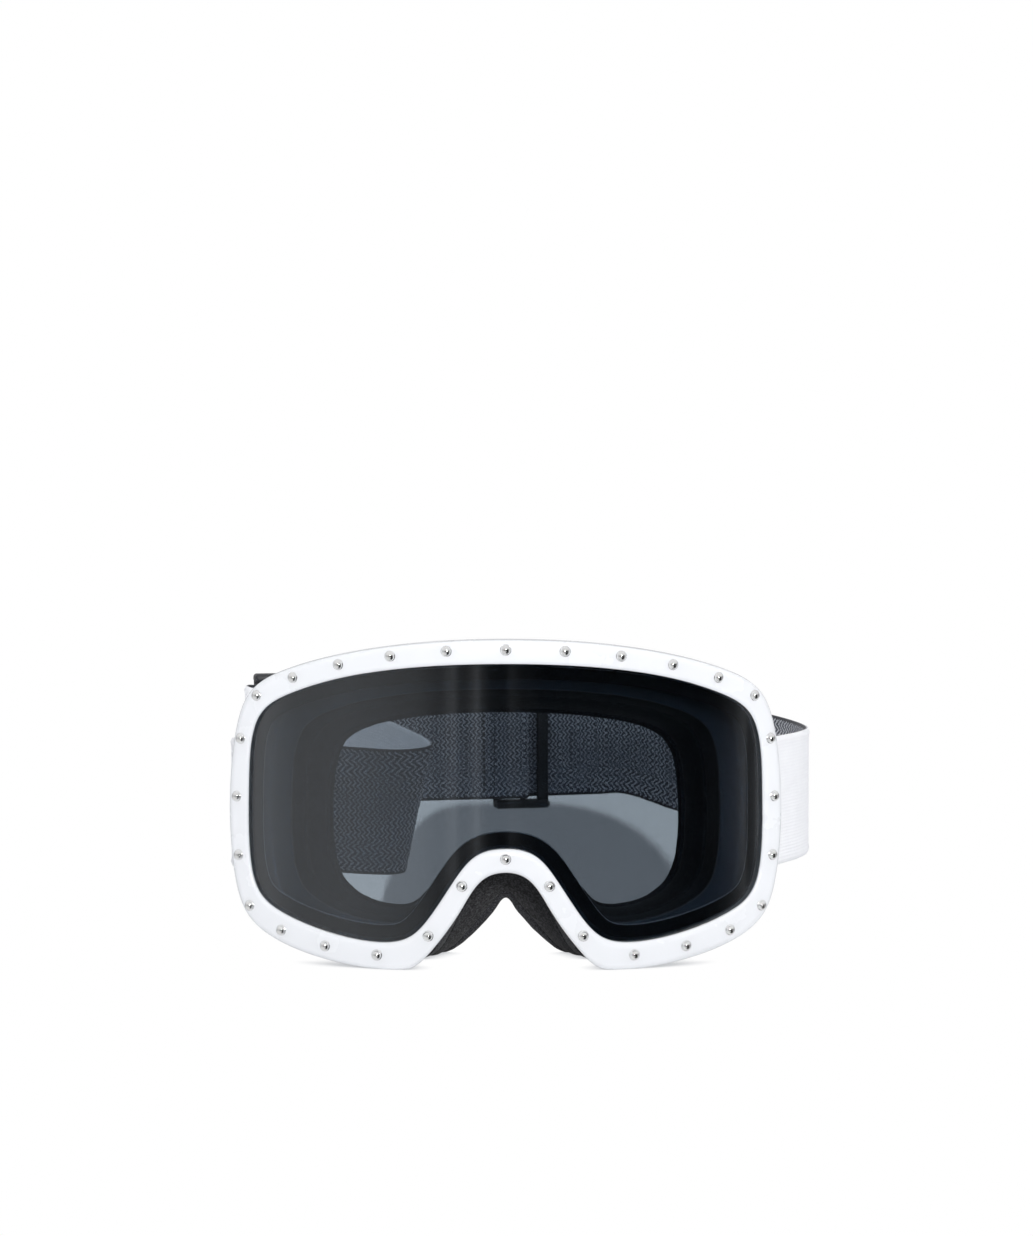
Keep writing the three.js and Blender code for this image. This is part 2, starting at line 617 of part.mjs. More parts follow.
// From the left clip: folds inwards behind the foam, doubles back to the left slider,
// then runs along the back in the inner layer, over the sewn tab of the right slider.
function strapLeftPath() {
  const x = -CLIP_BAR_X - CLIP_LOOP;
  const lapStart = SLIDER_LEFT_AT + SLIDER_TRAVEL + SLIDER_LENGTH / 2 + LAP_MARGIN;
  const lapEnd = SLIDER_RIGHT_AT - SLIDER_TRAVEL - TAB_LENGTH - LAP_MARGIN;
  const bends = smooth([
    at(x, CLIP_BAR_Y, STRAP_FRONT_HEIGHT),
    at(x - 3.4, CLIP_BAR_Y + 7, 47),
    at(x - 3.6, CLIP_BAR_Y + 14.5, 46.4),
    at(x + 4, CLIP_BAR_Y + 20.8, 45.4),
    at(x + 20, CLIP_BAR_Y + 21.8, 44),
    at(-45, CLIP_BAR_Y + 21.5, 42.5),
    at(-33, CLIP_BAR_Y + 22.5, STRAP_FOLD_HEIGHT),
    at(-26.5, CLIP_BAR_Y + 27, 42.5),
    at(-28, CLIP_BAR_Y + 35, 43.5),
    at(-40, CLIP_BAR_Y + 48, 47),
    at(-60, CLIP_BAR_Y + 63, 52),
    at(-80, CLIP_BAR_Y + 77, 56.5),
    at(-91, CLIP_BAR_Y + 85, 58.5),
  ], 70);
  const straight = [
    onBack(SLIDER_LEFT_AT - SLIDER_LENGTH / 2 - 0.5, -LAYER_OFFSET),
    onBack(lapStart, -LAYER_OFFSET),
    onBack(lapEnd, -LAP_OFFSET),
    onBack(SLIDER_RIGHT_AT - SLIDER_PIN_RADIUS - 1, -LAP_OFFSET),
  ];
  const last = bends[bends.length - 1];
  const turn = smooth([
    last,
    at(last.x - 3.2, last.y + 3.6, 59.2),
    at(last.x - 2.6, last.y + 6.6, STRAP_BACK_HEIGHT),
    straight[0],
  ], 14);
  return [...clipLoop(-1).slice(0, -1), ...bends.slice(0, -1), ...turn.slice(0, -1), ...straight];
}

// From the right clip: bulges out past the rim, comes round to the back, passes through
// the right slider, and ends over the sewn tab of the left slider.
function strapRightPath() {
  const x = CLIP_BAR_X + CLIP_LOOP;
  const bends = smooth([
    at(x, CLIP_BAR_Y, STRAP_FRONT_HEIGHT),
    at(x + STRAP_BULGE * 0.25, CLIP_BAR_Y + 9, 47.5),
    at(x + STRAP_BULGE * 0.7, CLIP_BAR_Y + 25, 47.5),
    at(x + STRAP_BULGE, CLIP_BAR_Y + 47, 47.5),
    at(x + STRAP_BULGE * 0.72, CLIP_BAR_Y + 73, 48.5),
    at(x - 3, CLIP_BAR_Y + 96, 51),
    at(x - 22, CLIP_BAR_Y + 112, 53.4),
    at(x - 45, CLIP_BAR_Y + 119.5, 58.8),
    onBack(SLIDER_RIGHT_AT + SLIDER_TRAVEL + SLIDER_LENGTH / 2, LAYER_OFFSET),
  ], 60);
  const lapStart = SLIDER_RIGHT_AT - SLIDER_TRAVEL - SLIDER_LENGTH / 2 - LAP_MARGIN;
  const lapEnd = SLIDER_LEFT_AT + SLIDER_TRAVEL + TAB_LENGTH + LAP_MARGIN;
  return [
    ...clipLoop(1).slice(0, -1), ...bends,
    onBack(lapStart, LAYER_OFFSET),
    onBack(lapEnd, LAP_OFFSET),
    onBack(SLIDER_LEFT_AT + SLIDER_PIN_RADIUS + 1, LAP_OFFSET),
  ];
}

// ---- sliders ----------------------------------------------------------------------------

// Both sliders are built the same way, in a frame of their own: x along the webbing towards
// the bare bar, y away from the webbing that is sewn on, z up.
const WEB_NEAR = LAYER_OFFSET - STRAP_THICKNESS / 2;
const WEB_FAR = LAYER_OFFSET + STRAP_THICKNESS / 2;
const TAB_BACK = WEB_NEAR - GAP - TAB_THICKNESS / 2;
const TAB_RADIUS = SLIDER_PIN_RADIUS + PIN_CLEARANCE + TAB_THICKNESS / 2;

function slider() {
  const inner = STRAP_WIDTH / 2 + SLIDER_SLACK;
  const outer = inner + SLIDER_RAIL;
  const half = SLIDER_LENGTH / 2;
  const pinY = TAB_BACK - TAB_RADIUS;
  const front = pinY - SLIDER_PIN_RADIUS;
  const back = WEB_FAR + GAP + SLIDER_BAR_THICKNESS;
  const profile = new THREE.Shape();
  const corner = 2;
  profile.moveTo(-half, back - corner);
  profile.quadraticCurveTo(-half, back, -half + corner, back);
  profile.lineTo(half - corner, back);
  profile.quadraticCurveTo(half, back, half, back - corner);
  profile.lineTo(half, front + corner);
  profile.quadraticCurveTo(half, front, half - corner, front);
  profile.lineTo(-half + corner, front);
  profile.quadraticCurveTo(-half, front, -half, front + corner);
  let solid = null;
  for (const level of [-outer, inner]) {
    const rail = new THREE.ExtrudeGeometry(profile, {
      depth: SLIDER_RAIL, bevelEnabled: false, curveSegments: 4,
    });
    rail.translate(0, 0, level);
    solid = solid ? solid.add(toManifold(rail)) : toManifold(rail);
  }
  const bareFront = WEB_NEAR - GAP - SLIDER_BAR_THICKNESS;
  const bars = [
    boxBetween(at(half - SLIDER_BAR, bareFront, -outer + 1), at(half, WEB_NEAR - GAP, outer - 1)),
    boxBetween(at(-half, WEB_FAR + GAP, -outer + 1), at(-half + SLIDER_BAR, back - 0.01, outer - 1)),
  ];
  const pin = new THREE.CylinderGeometry(SLIDER_PIN_RADIUS, SLIDER_PIN_RADIUS, outer * 2 - 2, 12);
  pin.rotateX(Math.PI / 2).translate(0, pinY, 0);
  for (const bar of [...bars, pin]) solid = solid.add(toManifold(bar));
  return toGeometry(solid);
}

// The end of a webbing, folded round a slider's middle bar and sewn to itself.
function sewnTab() {
  const pinY = TAB_BACK - TAB_RADIUS;
  const turn = halfTurn(at(0, pinY, 0), TAB_RADIUS, Math.PI / 2, -Math.PI, 10);
  const path = [at(-TAB_LENGTH, TAB_BACK, 0), ...turn, at(-TAB_LENGTH, pinY - TAB_RADIUS, 0)];
  return band(path, TAB_THICKNESS, STRAP_WIDTH);
}

// ---- assembly ---------------------------------------------------------------------------

function named(name, geometry, material) {
  const mesh = new THREE.Mesh(geometry, material);
  mesh.name = name;
  return mesh;
}

const goggles = new THREE.Group();

goggles.add(named('outer_frame', outerFrame(), WHITE_PLASTIC));
studPlaces().forEach((seat, i) => {
  goggles.add(named(`stud_${String(i + 1).padStart(2, '0')}`, stud(seat), CHROME));
});

const outerLensOutline = inset(LENS_OUTLINE, -LENS_OVERLAP);
const innerLensOutline = inset(LENS_OUTLINE, SPACER_INSET);
goggles.add(
  named('outer_lens', curvedPlate(outerLensOutline, OUTER_LENS_DEPTH, LENS_THICKNESS), SMOKE_LENS),
  named('lens_spacer', lensSpacer(), DARK_FOAM),
  named('inner_lens',
    curvedPlate(innerLensOutline, INNER_LENS_DEPTH, INNER_LENS_THICKNESS), CLEAR_LENS),
  named('chassis', chassis(), BLACK_PLASTIC),
  named('foam_base', foamLayer(0, FOAM_BASE_SHARE, 0), DARK_FOAM),
  named('foam_middle', foamLayer(FOAM_BASE_SHARE, FOAM_MIDDLE_SHARE, GAP), DARK_FOAM),
  named('foam_fleece', foamLayer(FOAM_MIDDLE_SHARE, 1, GAP), FLEECE),
  named('vent_foam_top', ventFoam(-2, 2), DARK_FOAM),
  named('vent_foam_bottom_right', ventFoam(9, 11), DARK_FOAM),
  named('vent_foam_bottom_left', ventFoam(21, 23), DARK_FOAM),
);

for (const [word, side] of [['left', -1], ['right', 1]]) {
  goggles.add(
    named(`strap_clip_${word}`, strapClip(side), BLACK_PLASTIC),
    named(`pivot_pin_${word}`, pivotPin(side), STEEL),
  );
}

goggles.add(
  named('strap_left', band(strapLeftPath(), STRAP_THICKNESS, STRAP_WIDTH), WEBBING),
  named('strap_right', band(strapRightPath(), STRAP_THICKNESS, STRAP_WIDTH), WEBBING),
);

for (const [word, place, turn] of [
  ['right', SLIDER_RIGHT_AT, BACK_TURN],
  ['left', SLIDER_LEFT_AT, BACK_TURN + Math.PI],
]) {
  const seat = new THREE.Group();
  seat.position.copy(onBack(place, 0));
  seat.rotation.z = turn;
  seat.add(
    named(`slider_${word}`, slider(), SLIDER_PLASTIC),
    named(`strap_tab_${word}`, sewnTab(), WEBBING),
  );
  goggles.add(seat);
}

// Puts the origin at the bottom centre of the whole.
const extent = new THREE.Box3().setFromObject(goggles);
goggles.position.set(-(extent.min.x + extent.max.x) / 2, -(extent.min.y + extent.max.y) / 2, 0);
const group = new THREE.Group();
group.add(goggles);
group.updateMatrixWorld(true);

export default group;
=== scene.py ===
"""Looks of the studded ski goggles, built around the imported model.

Lengths are in millimetres in the goggles' own frame (x = 0 at the middle of the rim, y = 0 at
the rim's front, z = 0 on the table), and place() turns them into metres in the row frame.
"""

import math

import bmesh
import bpy
import numpy as np
from mathutils import Matrix, Vector, noise


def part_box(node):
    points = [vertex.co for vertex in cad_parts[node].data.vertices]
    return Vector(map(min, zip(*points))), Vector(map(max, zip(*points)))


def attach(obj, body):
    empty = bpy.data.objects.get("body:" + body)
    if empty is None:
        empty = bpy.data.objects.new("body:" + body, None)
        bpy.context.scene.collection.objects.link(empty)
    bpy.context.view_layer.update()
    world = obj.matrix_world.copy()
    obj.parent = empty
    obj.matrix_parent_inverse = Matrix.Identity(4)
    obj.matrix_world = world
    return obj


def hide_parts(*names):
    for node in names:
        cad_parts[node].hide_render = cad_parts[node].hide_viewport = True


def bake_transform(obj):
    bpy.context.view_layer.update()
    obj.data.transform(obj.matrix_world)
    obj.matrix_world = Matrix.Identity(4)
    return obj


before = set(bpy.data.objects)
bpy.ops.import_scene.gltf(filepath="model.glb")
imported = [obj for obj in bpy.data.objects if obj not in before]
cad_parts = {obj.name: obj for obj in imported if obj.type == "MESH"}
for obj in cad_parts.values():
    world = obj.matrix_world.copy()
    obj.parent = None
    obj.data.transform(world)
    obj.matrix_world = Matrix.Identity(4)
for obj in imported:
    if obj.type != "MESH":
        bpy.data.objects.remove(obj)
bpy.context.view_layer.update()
MM = 0.001

RIM_LOW, RIM_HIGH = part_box("outer_frame")
ORIGIN = Vector(((RIM_LOW.x + RIM_HIGH.x) / 2, RIM_LOW.y, 0.0))

# ---- driving dimensions, as in the solids ----------------------------------------------------

FRAME_WIDTH = (RIM_HIGH.x - RIM_LOW.x) / MM
FRAME_HEIGHT = RIM_HIGH.z / MM
HALF = FRAME_WIDTH / 2
FRONT_RADIUS = 158.0
SOLE_TRIM = 0.5
RIM_TOP, RIM_SIDE, RIM_BOTTOM = 7.6, 6.8, 8.4
RIM_PLATE, RIM_WALL, RIM_DEPTH = 2.6, 2.5, 11.0
LENS_DEPTH = 2.9
LENS_THICKNESS = 1.4
LENS_OVERLAP = 2.6
SPACER_DEPTH = 4.6
SPACER_THICKNESS = 4.0
SPACER_WIDTH = 4.0
SPACER_INSET = 1.0
INNER_LENS_DEPTH, INNER_LENS_THICKNESS = 8.9, 1.0
CHASSIS_DEPTH, CHASSIS_RADIUS = 22.0, 135.0
FLANGE_SIDE, FLANGE_TOP, FLANGE_BOTTOM = 9.8, 7.0, 3.0
FACE_HALF = 57.0
FACE_TOP_MARGIN, FACE_BOTTOM_MARGIN = 25.8, 15.5
FACE_DEPTH, FACE_RADIUS = 40.0, 110.0
FOAM_SIDE, FOAM_TOP = 13.8, 10.0
FOAM_SHARES = (0.0, 0.32, 0.86, 1.0)
GAP = 0.3

STRAP_WIDTH = 43.5
STRAP_THICKNESS = 1.4
BACK_MIDDLE = Vector((0.0, 173.0, 59.5))
BACK_TURN = math.radians(13.3)
ALONG = Vector((math.cos(BACK_TURN), math.sin(BACK_TURN), 0.0))
AWAY = Vector((-ALONG.y, ALONG.x, 0.0))
SLIDER_RIGHT_AT, SLIDER_LEFT_AT = 6.0, -84.0
CLIP_BAR = Vector((85.5, 60.0, 47.5))
PIVOT = Vector((84.3, 43.0, 47.5))


def place(p):
    """A point of the goggles' own frame, in metres in the row frame."""
    return Vector((p[0] * MM + ORIGIN.x, p[1] * MM + ORIGIN.y, p[2] * MM))


# ---- node materials --------------------------------------------------------------------------


class Nodes:
    """A short way to write the node tree of a material, or of the world."""

    def __init__(self, name, world=False):
        self.owner = (bpy.data.worlds if world else bpy.data.materials).new(name)
        self.owner.use_nodes = True
        self.tree = self.owner.node_tree
        self.tree.nodes.clear()
        self.out = self.add("ShaderNodeOutputWorld" if world else "ShaderNodeOutputMaterial")

    def add(self, kind, **values):
        """A node with its properties and inputs set; a socket as a value makes a link."""
        node = self.tree.nodes.new(kind)
        for key, value in values.items():
            if key in node.inputs.keys():
                self.set(node.inputs[key], value)
            else:
                setattr(node, key, value)
        return node

    def set(self, socket, value):
        if isinstance(value, bpy.types.NodeSocket):
            self.tree.links.new(value, socket)
        elif isinstance(value, tuple) and socket.type == "RGBA":
            socket.default_value = (*value, 1.0)
        else:
            socket.default_value = value

    def math(self, operation, a, b=0.0):
        node = self.add("ShaderNodeMath", operation=operation)
        self.set(node.inputs[0], a)
        self.set(node.inputs[1], b)
        return node.outputs[0]

    def total(self, *values):
        result = values[0]
        for value in values[1:]:
            result = self.math("ADD", result, value)
        return result

    def times(self, a, b):
        return self.math("MULTIPLY", a, b)

    def mix(self, share, low, high):
        node = self.add("ShaderNodeMix", data_type="RGBA", Factor=share)
        self.set(node.inputs["A"], low)
        self.set(node.inputs["B"], high)
        return node.outputs["Result"]

    def either(self, share, below, above):
        """One shader or the other."""
        node = self.add("ShaderNodeMixShader")
        for socket, value in zip(node.inputs, (share, below, above)):
            self.set(socket, value)
        return node.outputs[0]

    def ramp(self, value, stops):
        node = self.add("ShaderNodeValToRGB", Fac=value)
        elements = node.color_ramp.elements
        while len(elements) < len(stops):
            elements.new(0.5)
        for element, (position, color) in zip(elements, stops):
            element.position = position
            element.color = (*color, 1.0)
        return node.outputs["Color"]

    def coordinates(self, kind="Object"):
        return self.add("ShaderNodeTexCoord").outputs[kind]

    def axes(self, vector):
        return self.add("ShaderNodeSeparateXYZ", Vector=vector).outputs

    def noise(self, scale, detail=3.0, roughness=0.5, vector=None):
        return self.add(
            "ShaderNodeTexNoise", Vector=vector or self.coordinates(), Scale=scale,
            Detail=detail, Roughness=roughness).outputs["Fac"]

    def cells(self, scale):
        return self.add(
            "ShaderNodeTexVoronoi", Vector=self.coordinates(), Scale=scale).outputs["Distance"]

    def spread(self, value, low, high, start=0.0, end=1.0):
        """Maps start..end onto low..high, eased at both ends."""
        node = self.add("ShaderNodeMapRange", interpolation_type="SMOOTHSTEP")
        for key, amount in (("Value", value), ("From Min", start), ("From Max", end),
                            ("To Min", low), ("To Max", high)):
            self.set(node.inputs[key], amount)
        return node.outputs["Result"]

    def bump(self, height, strength, distance):
        return self.add("ShaderNodeBump", Strength=strength, Distance=distance,
                        Height=height).outputs["Normal"]

    def shader(self, **values):
        node = self.add("ShaderNodeBsdfPrincipled")
        for key, value in values.items():
            self.set(node.inputs[key.replace("_", " ")], value)
        return node.outputs["BSDF"]

    def finish(self, surface):
        self.set(self.out.inputs["Surface"], surface)
        return self.owner


def white_plastic():
    n = Nodes("white_plastic")
    haze = n.noise(45.0, 4.0, 0.6)
    color = n.mix(haze, (0.775, 0.786, 0.803), (0.81, 0.82, 0.837))
    grain = n.bump(n.noise(1800.0, 2.0), 0.06, 0.0002)
    return n.finish(n.shader(
        Base_Color=color, Roughness=n.spread(haze, 0.2, 0.32), Normal=grain, IOR=1.48,
        Coat_Weight=0.25, Coat_Roughness=0.08))


def stud_chrome():
    n = Nodes("stud_chrome")
    marks = n.noise(900.0, 4.0, 0.7)
    color = n.mix(marks, (0.84, 0.835, 0.83), (0.94, 0.94, 0.94))
    return n.finish(n.shader(
        Base_Color=color, Metallic=1.0, Roughness=n.spread(marks, 0.08, 0.17),
        Normal=n.bump(marks, 0.04, 0.0001)))


def smoke_lens():
    n = Nodes("smoke_lens")
    fade = n.times(n.axes(n.coordinates())["Z"], 1.0 / (FRAME_HEIGHT * MM))
    tint = n.mix(fade, (0.305, 0.355, 0.405), (0.27, 0.32, 0.37))
    wave = n.noise(22.0, 2.0)
    body = n.shader(
        Base_Color=tint, Roughness=0.012, Transmission_Weight=1.0, IOR=1.9,
        Normal=n.bump(wave, 0.01, 0.0004))
    return n.finish(lets_light_in(n, body, tint))


def lets_light_in(n, body, tint):
    """The same glass, with a clear shadow so that lamps reach what stands behind it."""
    clear = n.add("ShaderNodeBsdfTransparent", Color=tint).outputs[0]
    return n.either(n.add("ShaderNodeLightPath").outputs["Is Shadow Ray"], body, clear)


def clear_lens():
    n = Nodes("clear_lens")
    haze = n.noise(30.0, 3.0)
    tint = n.mix(haze, (0.93, 0.945, 0.955), (0.96, 0.965, 0.97))
    body = n.shader(
        Base_Color=tint, Roughness=0.02, Transmission_Weight=1.0, IOR=1.35)
    return n.finish(lets_light_in(n, body, tint))


def black_plastic(name, low, high, roughness):
    n = Nodes(name)
    mottle = n.noise(60.0, 4.0, 0.6)
    color = n.mix(mottle, low, high)
    texture = n.bump(n.noise(2600.0, 3.0, 0.7), 0.25, 0.0002)
    rough = n.spread(n.noise(300.0, 3.0), roughness - 0.06, roughness + 0.08)
    return n.finish(n.shader(Base_Color=color, Roughness=rough, Normal=texture))


def foam(name, low, high, cell_size, speck):
    """Foam of fine round cells: paler cell walls, dark pores and scattered threads with a painted
    glint in the base colour.
    """
    n = Nodes(name)
    cells = n.cells(1.0 / cell_size)
    fine = n.noise(1.6 / cell_size, 2.0, 0.6)
    pores = n.times(cells, fine)
    color = n.ramp(pores, [(0.1, high), (0.32, low), (0.6, low)])
    grain = n.noise(1.1 / cell_size, 1.0, 0.5)
    color = n.mix(n.spread(grain, 0.0, 0.8, 0.5, 0.6), color, tuple(1.5 * c for c in high))
    # Painted highlight: sparse threads are made bright in the base colour, as glints of light.
    painted_glints = n.spread(n.noise(0.9 / cell_size, 2.0, 0.5), 0.0, speck, 0.62, 0.68)
    color = n.mix(painted_glints, color, tuple(min(3.0 * c, 1.0) for c in high))
    relief = n.bump(grain, 0.5, cell_size * 0.4)
    return n.finish(n.shader(
        Base_Color=color, Roughness=0.96, Specular_IOR_Level=0.25, Normal=relief,
        Sheen_Weight=0.1, Sheen_Roughness=0.6))


def steel():
    n = Nodes("pin_steel")
    lines = n.noise(500.0, 3.0, 0.6)
    color = n.mix(lines, (0.42, 0.43, 0.45), (0.58, 0.59, 0.6))
    return n.finish(n.shader(
        Base_Color=color, Metallic=1.0, Roughness=0.33, Normal=n.bump(lines, 0.1, 0.0001)))


CHEVRON_PITCH, CHEVRON_HEIGHT = 2.0, 3.7    # the bold zigzags near the edges of the inner face
FINE_PITCH, FINE_HEIGHT = 1.6, 2.4          # and the small ones between them
THREAD_PITCH = 0.55                         # the threads across the inner face
RIB_PITCH, YARN_PITCH = 0.62, 1.1           # the threads of the white face, along and across
BORDER_WIDTH = 10.5


def webbing(name):
    """Elastic jacquard webbing. The UV map holds millimetres: u along, v across, and the
    'inside' attribute is 1 on the face towards the head."""
    n = Nodes(name)
    weave = n.add("ShaderNodeUVMap", uv_map="weave").outputs["UV"]
    across_and_along = n.axes(weave)
    u, v = across_and_along["X"], across_and_along["Y"]
    inside = n.add("ShaderNodeAttribute", attribute_name="inside").outputs["Fac"]

    def sway(scale, amount):
        return n.times(n.math("SUBTRACT", n.noise(scale, 2.0, 0.5, weave), 0.5), amount)

    def wave(along, pitch):
        return n.math("SINE", n.times(along, 2 * math.pi / pitch))

    def zigzag(pitch, height, steepness):
        across = n.math("PINGPONG", n.total(v, sway(0.33, 0.9)), height / 2)
        slant = n.total(u, n.times(across, steepness), sway(0.27, 1.3))
        return n.math("DIVIDE", n.math("PINGPONG", slant, pitch / 2), pitch / 2)

    from_middle = n.math("ABSOLUTE", n.math("SUBTRACT", v, STRAP_WIDTH / 2))
    to_edge = n.math("SUBTRACT", STRAP_WIDTH / 2, from_middle)
    bold = n.spread(to_edge, 1.0, 0.0, BORDER_WIDTH - 1.5, BORDER_WIDTH + 1.5)
    small = n.times(zigzag(FINE_PITCH, FINE_HEIGHT, 1.0), n.math("SUBTRACT", 1.0, bold))
    tone = n.total(small, n.times(zigzag(CHEVRON_PITCH, CHEVRON_HEIGHT, 1.15), bold))
    worn = n.spread(n.noise(0.05, 3.0, 0.6, weave), 0.35, 0.85, 0.3, 0.7)
    tone = n.total(n.times(n.math("SUBTRACT", tone, 0.5), worn), 0.47)
    tone = n.total(tone, sway(1.6, 0.75), n.times(wave(v, THREAD_PITCH), 0.07))
    patterned = n.ramp(tone, [
        (0.15, (0.028, 0.031, 0.04)), (0.45, (0.15, 0.158, 0.182)), (0.8, (0.56, 0.575, 0.61))])
    hem = n.total(0.7, n.times(n.math("PINGPONG", u, 0.7), 0.9))
    patterned = n.mix(n.math("LESS_THAN", to_edge, hem), patterned, (0.028, 0.029, 0.034))

    face = n.total(n.times(wave(u, RIB_PITCH), 0.5), n.times(wave(v, YARN_PITCH), 0.3))
    shade = n.total(n.times(face, 0.4), n.noise(0.09, 3.0, 0.6, weave))
    plain = n.mix(shade, (0.85, 0.853, 0.872), (0.93, 0.933, 0.945))

    color = n.mix(inside, plain, patterned)
    height = n.add("ShaderNodeMix", data_type="FLOAT")
    for socket, value in ((0, inside), (2, face), (3, tone)):
        n.set(height.inputs[socket], value)
    relief = n.bump(height.outputs[0], 0.5, 0.00026)
    return n.finish(n.shader(
        Base_Color=color, Roughness=0.86, Specular_IOR_Level=0.3, Normal=relief,
        Sheen_Weight=0.15, Sheen_Roughness=0.5))


def thread(name, low, high):
    n = Nodes(name)
    twist = n.noise(3000.0, 2.0)
    return n.finish(n.shader(
        Base_Color=n.mix(twist, low, high), Roughness=0.7, Normal=n.bump(twist, 0.5, 0.0001)))


# ---- meshes ----------------------------------------------------------------------------------


def new_object(name, data):
    found = bpy.data.objects.new(name, data)
    bpy.context.scene.collection.objects.link(found)
    return found


def shade(mesh, sharp=None):
    """Smooth, except where faces meet at more than the sharp angle, in degrees."""
    mesh.shade_smooth()
    if sharp:
        mesh.set_sharp_from_angle(angle=math.radians(sharp))


def mesh_from(name, bm, sharp=None):
    mesh = bpy.data.meshes.new(name)
    bm.to_mesh(mesh)
    bm.free()
    shade(mesh, sharp)
    return mesh


def face_outwards(mesh):
    bm = bmesh.new()
    bm.from_mesh(mesh)
    bmesh.ops.recalc_face_normals(bm, faces=bm.faces)
    bm.to_mesh(mesh)
    bm.free()


def mesh_object(name, points, faces, sharp=None):
    """An object from points in the goggles' own frame, smooth except at sharp corners."""
    mesh = bpy.data.meshes.new(name)
    mesh.from_pydata([place(p) for p in points], [], faces)
    mesh.validate()
    face_outwards(mesh)
    shade(mesh, sharp)
    return new_object(name, mesh)


def tube_faces(stations, count, closed=False):
    """Quads between neighbouring loops of count points each, with two ends unless closed."""
    faces = []
    for i in range(stations if closed else stations - 1):
        here, after = i * count, (i + 1) % stations * count
        for j in range(count):
            k = (j + 1) % count
            faces.append((here + j, here + k, after + k, after + j))
    if not closed:
        faces.append(tuple(range(count)))
        faces.append(tuple(range((stations - 1) * count, stations * count)))
    return faces


def finish_piece(piece, body, material, slot, *replaced, lining=None):
    numbers = np.zeros(len(piece.data.polygons), np.int32)
    piece.data.polygons.foreach_get("material_index", numbers)
    piece.data.materials.clear()
    piece.data.materials.append(material)
    if lining:
        piece.data.materials.append(lining)
        piece.data.polygons.foreach_set("material_index", numbers)
    if body:
        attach(piece, body)
    if replaced:
        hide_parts(*replaced)
    return piece


def catmull(points, steps, closed=False):
    """Centripetal Catmull-Rom through the points, with steps samples from each to the next."""
    points = [np.array(p, float) for p in points]
    if closed:
        points = [points[-1], *points, *points[:2]]
    else:
        points = [2 * points[0] - points[1], *points, 2 * points[-1] - points[-2]]
    out = []
    for p0, p1, p2, p3 in zip(points, points[1:], points[2:], points[3:]):
        d0, d1, d2 = (max(np.linalg.norm(b - a) ** 0.5, 1e-6)
                      for a, b in ((p0, p1), (p1, p2), (p2, p3)))
        t1 = ((p1 - p0) / d0 - (p2 - p0) / (d0 + d1) + (p2 - p1) / d1) * d1
        t2 = ((p2 - p1) / d1 - (p3 - p1) / (d1 + d2) + (p3 - p2) / d2) * d1
        for k in range(steps):
            t = k / steps
            out.append(p1 + t1 * t + (3 * (p2 - p1) - 2 * t1 - t2) * t ** 2
                       + (2 * (p1 - p2) + t1 + t2) * t ** 3)
    if not closed:
        out.append(points[-2])
    return np.array(out)


# ---- outlines --------------------------------------------------------------------------------

STEPS_PER_POINT = 14
SMOOTHING = 5.0

RIM_SIDE_SHAPE = [
    (0, 1), (0.3, 0.989), (0.58, 0.953), (0.79, 0.9), (0.918, 0.84), (0.973, 0.724), (1, 0.505),
    (0.987, 0.295), (0.942, 0.147), (0.824, 0.072), (0.624, 0.02),
]
RIM_SHAPE = RIM_SIDE_SHAPE + [
    (0.445, 0), (0.336, 0.003), (0.267, 0.056), (0.166, 0.17), (0.089, 0.28), (0, 0.303),
]
FLANGE_SHAPE = RIM_SIDE_SHAPE + [
    (0.45, 0), (0.359, 0.013), (0.302, 0.079), (0.197, 0.208), (0.105, 0.324), (0, 0.344),
]
FOAM_SHAPE = RIM_SIDE_SHAPE + [
    (0.47, 0), (0.315, -0.004), (0.226, 0.014), (0.137, 0.069), (0.057, 0.138), (0, 0.194),
]
FOAM_FRONT_SHAPE = RIM_SIDE_SHAPE + [      # let down and brought in at the lobes
    (0.45, -0.026), (0.33, -0.03), (0.265, 0.025), (0.192, 0.2), (0.105, 0.324), (0, 0.344),
]
LENS_SHAPE = [
    (0, 1), (0.325, 0.989), (0.604, 0.952), (0.798, 0.897), (0.94, 0.829), (0.99, 0.715),
    (1, 0.501), (0.998, 0.299), (0.961, 0.147), (0.834, 0.074), (0.66, 0.022), (0.506, 0),
    (0.393, 0.008), (0.319, 0.057), (0.216, 0.199), (0.119, 0.321), (0, 0.343),
]
FACE_SHAPE = [
    (0, 1), (0.351, 0.989), (0.632, 0.954), (0.807, 0.91), (0.926, 0.84), (0.982, 0.7),
    (1, 0.495), (0.993, 0.29), (0.947, 0.133), (0.842, 0.047), (0.719, 0.008), (0.614, 0),
    (0.535, 0.011), (0.474, 0.055), (0.325, 0.212), (0.167, 0.342), (0, 0.374),
]


def outline(shape, half_width, bottom, top, smoothing=SMOOTHING):
    """The whole loop as (x, z) points that match from one outline to another."""
    right = [(x * half_width, bottom + z * (top - bottom)) for x, z in shape]
    left = [(-x, z) for x, z in reversed(right[1:-1])]
    points = catmull(right + left, STEPS_PER_POINT, closed=True)
    return smooth_loop(points, smoothing)


def smooth_loop(points, sigma):
    """Evens out the small steps in curvature where two spans meet."""
    reach = int(3 * sigma)
    weights = np.exp(-0.5 * (np.arange(-reach, reach + 1) / sigma) ** 2)
    weights /= weights.sum()
    out = np.zeros_like(points)
    for offset, weight in zip(range(-reach, reach + 1), weights):
        out += weight * np.roll(points, offset, axis=0)
    return out


def inset(points, distance):
    along = np.roll(points, -1, axis=0) - np.roll(points, 1, axis=0)
    along /= np.linalg.norm(along, axis=1)[:, None]
    return points + np.stack([along[:, 1], -along[:, 0]], axis=1) * distance


def between(first, second, share):
    return first + (second - first) * share


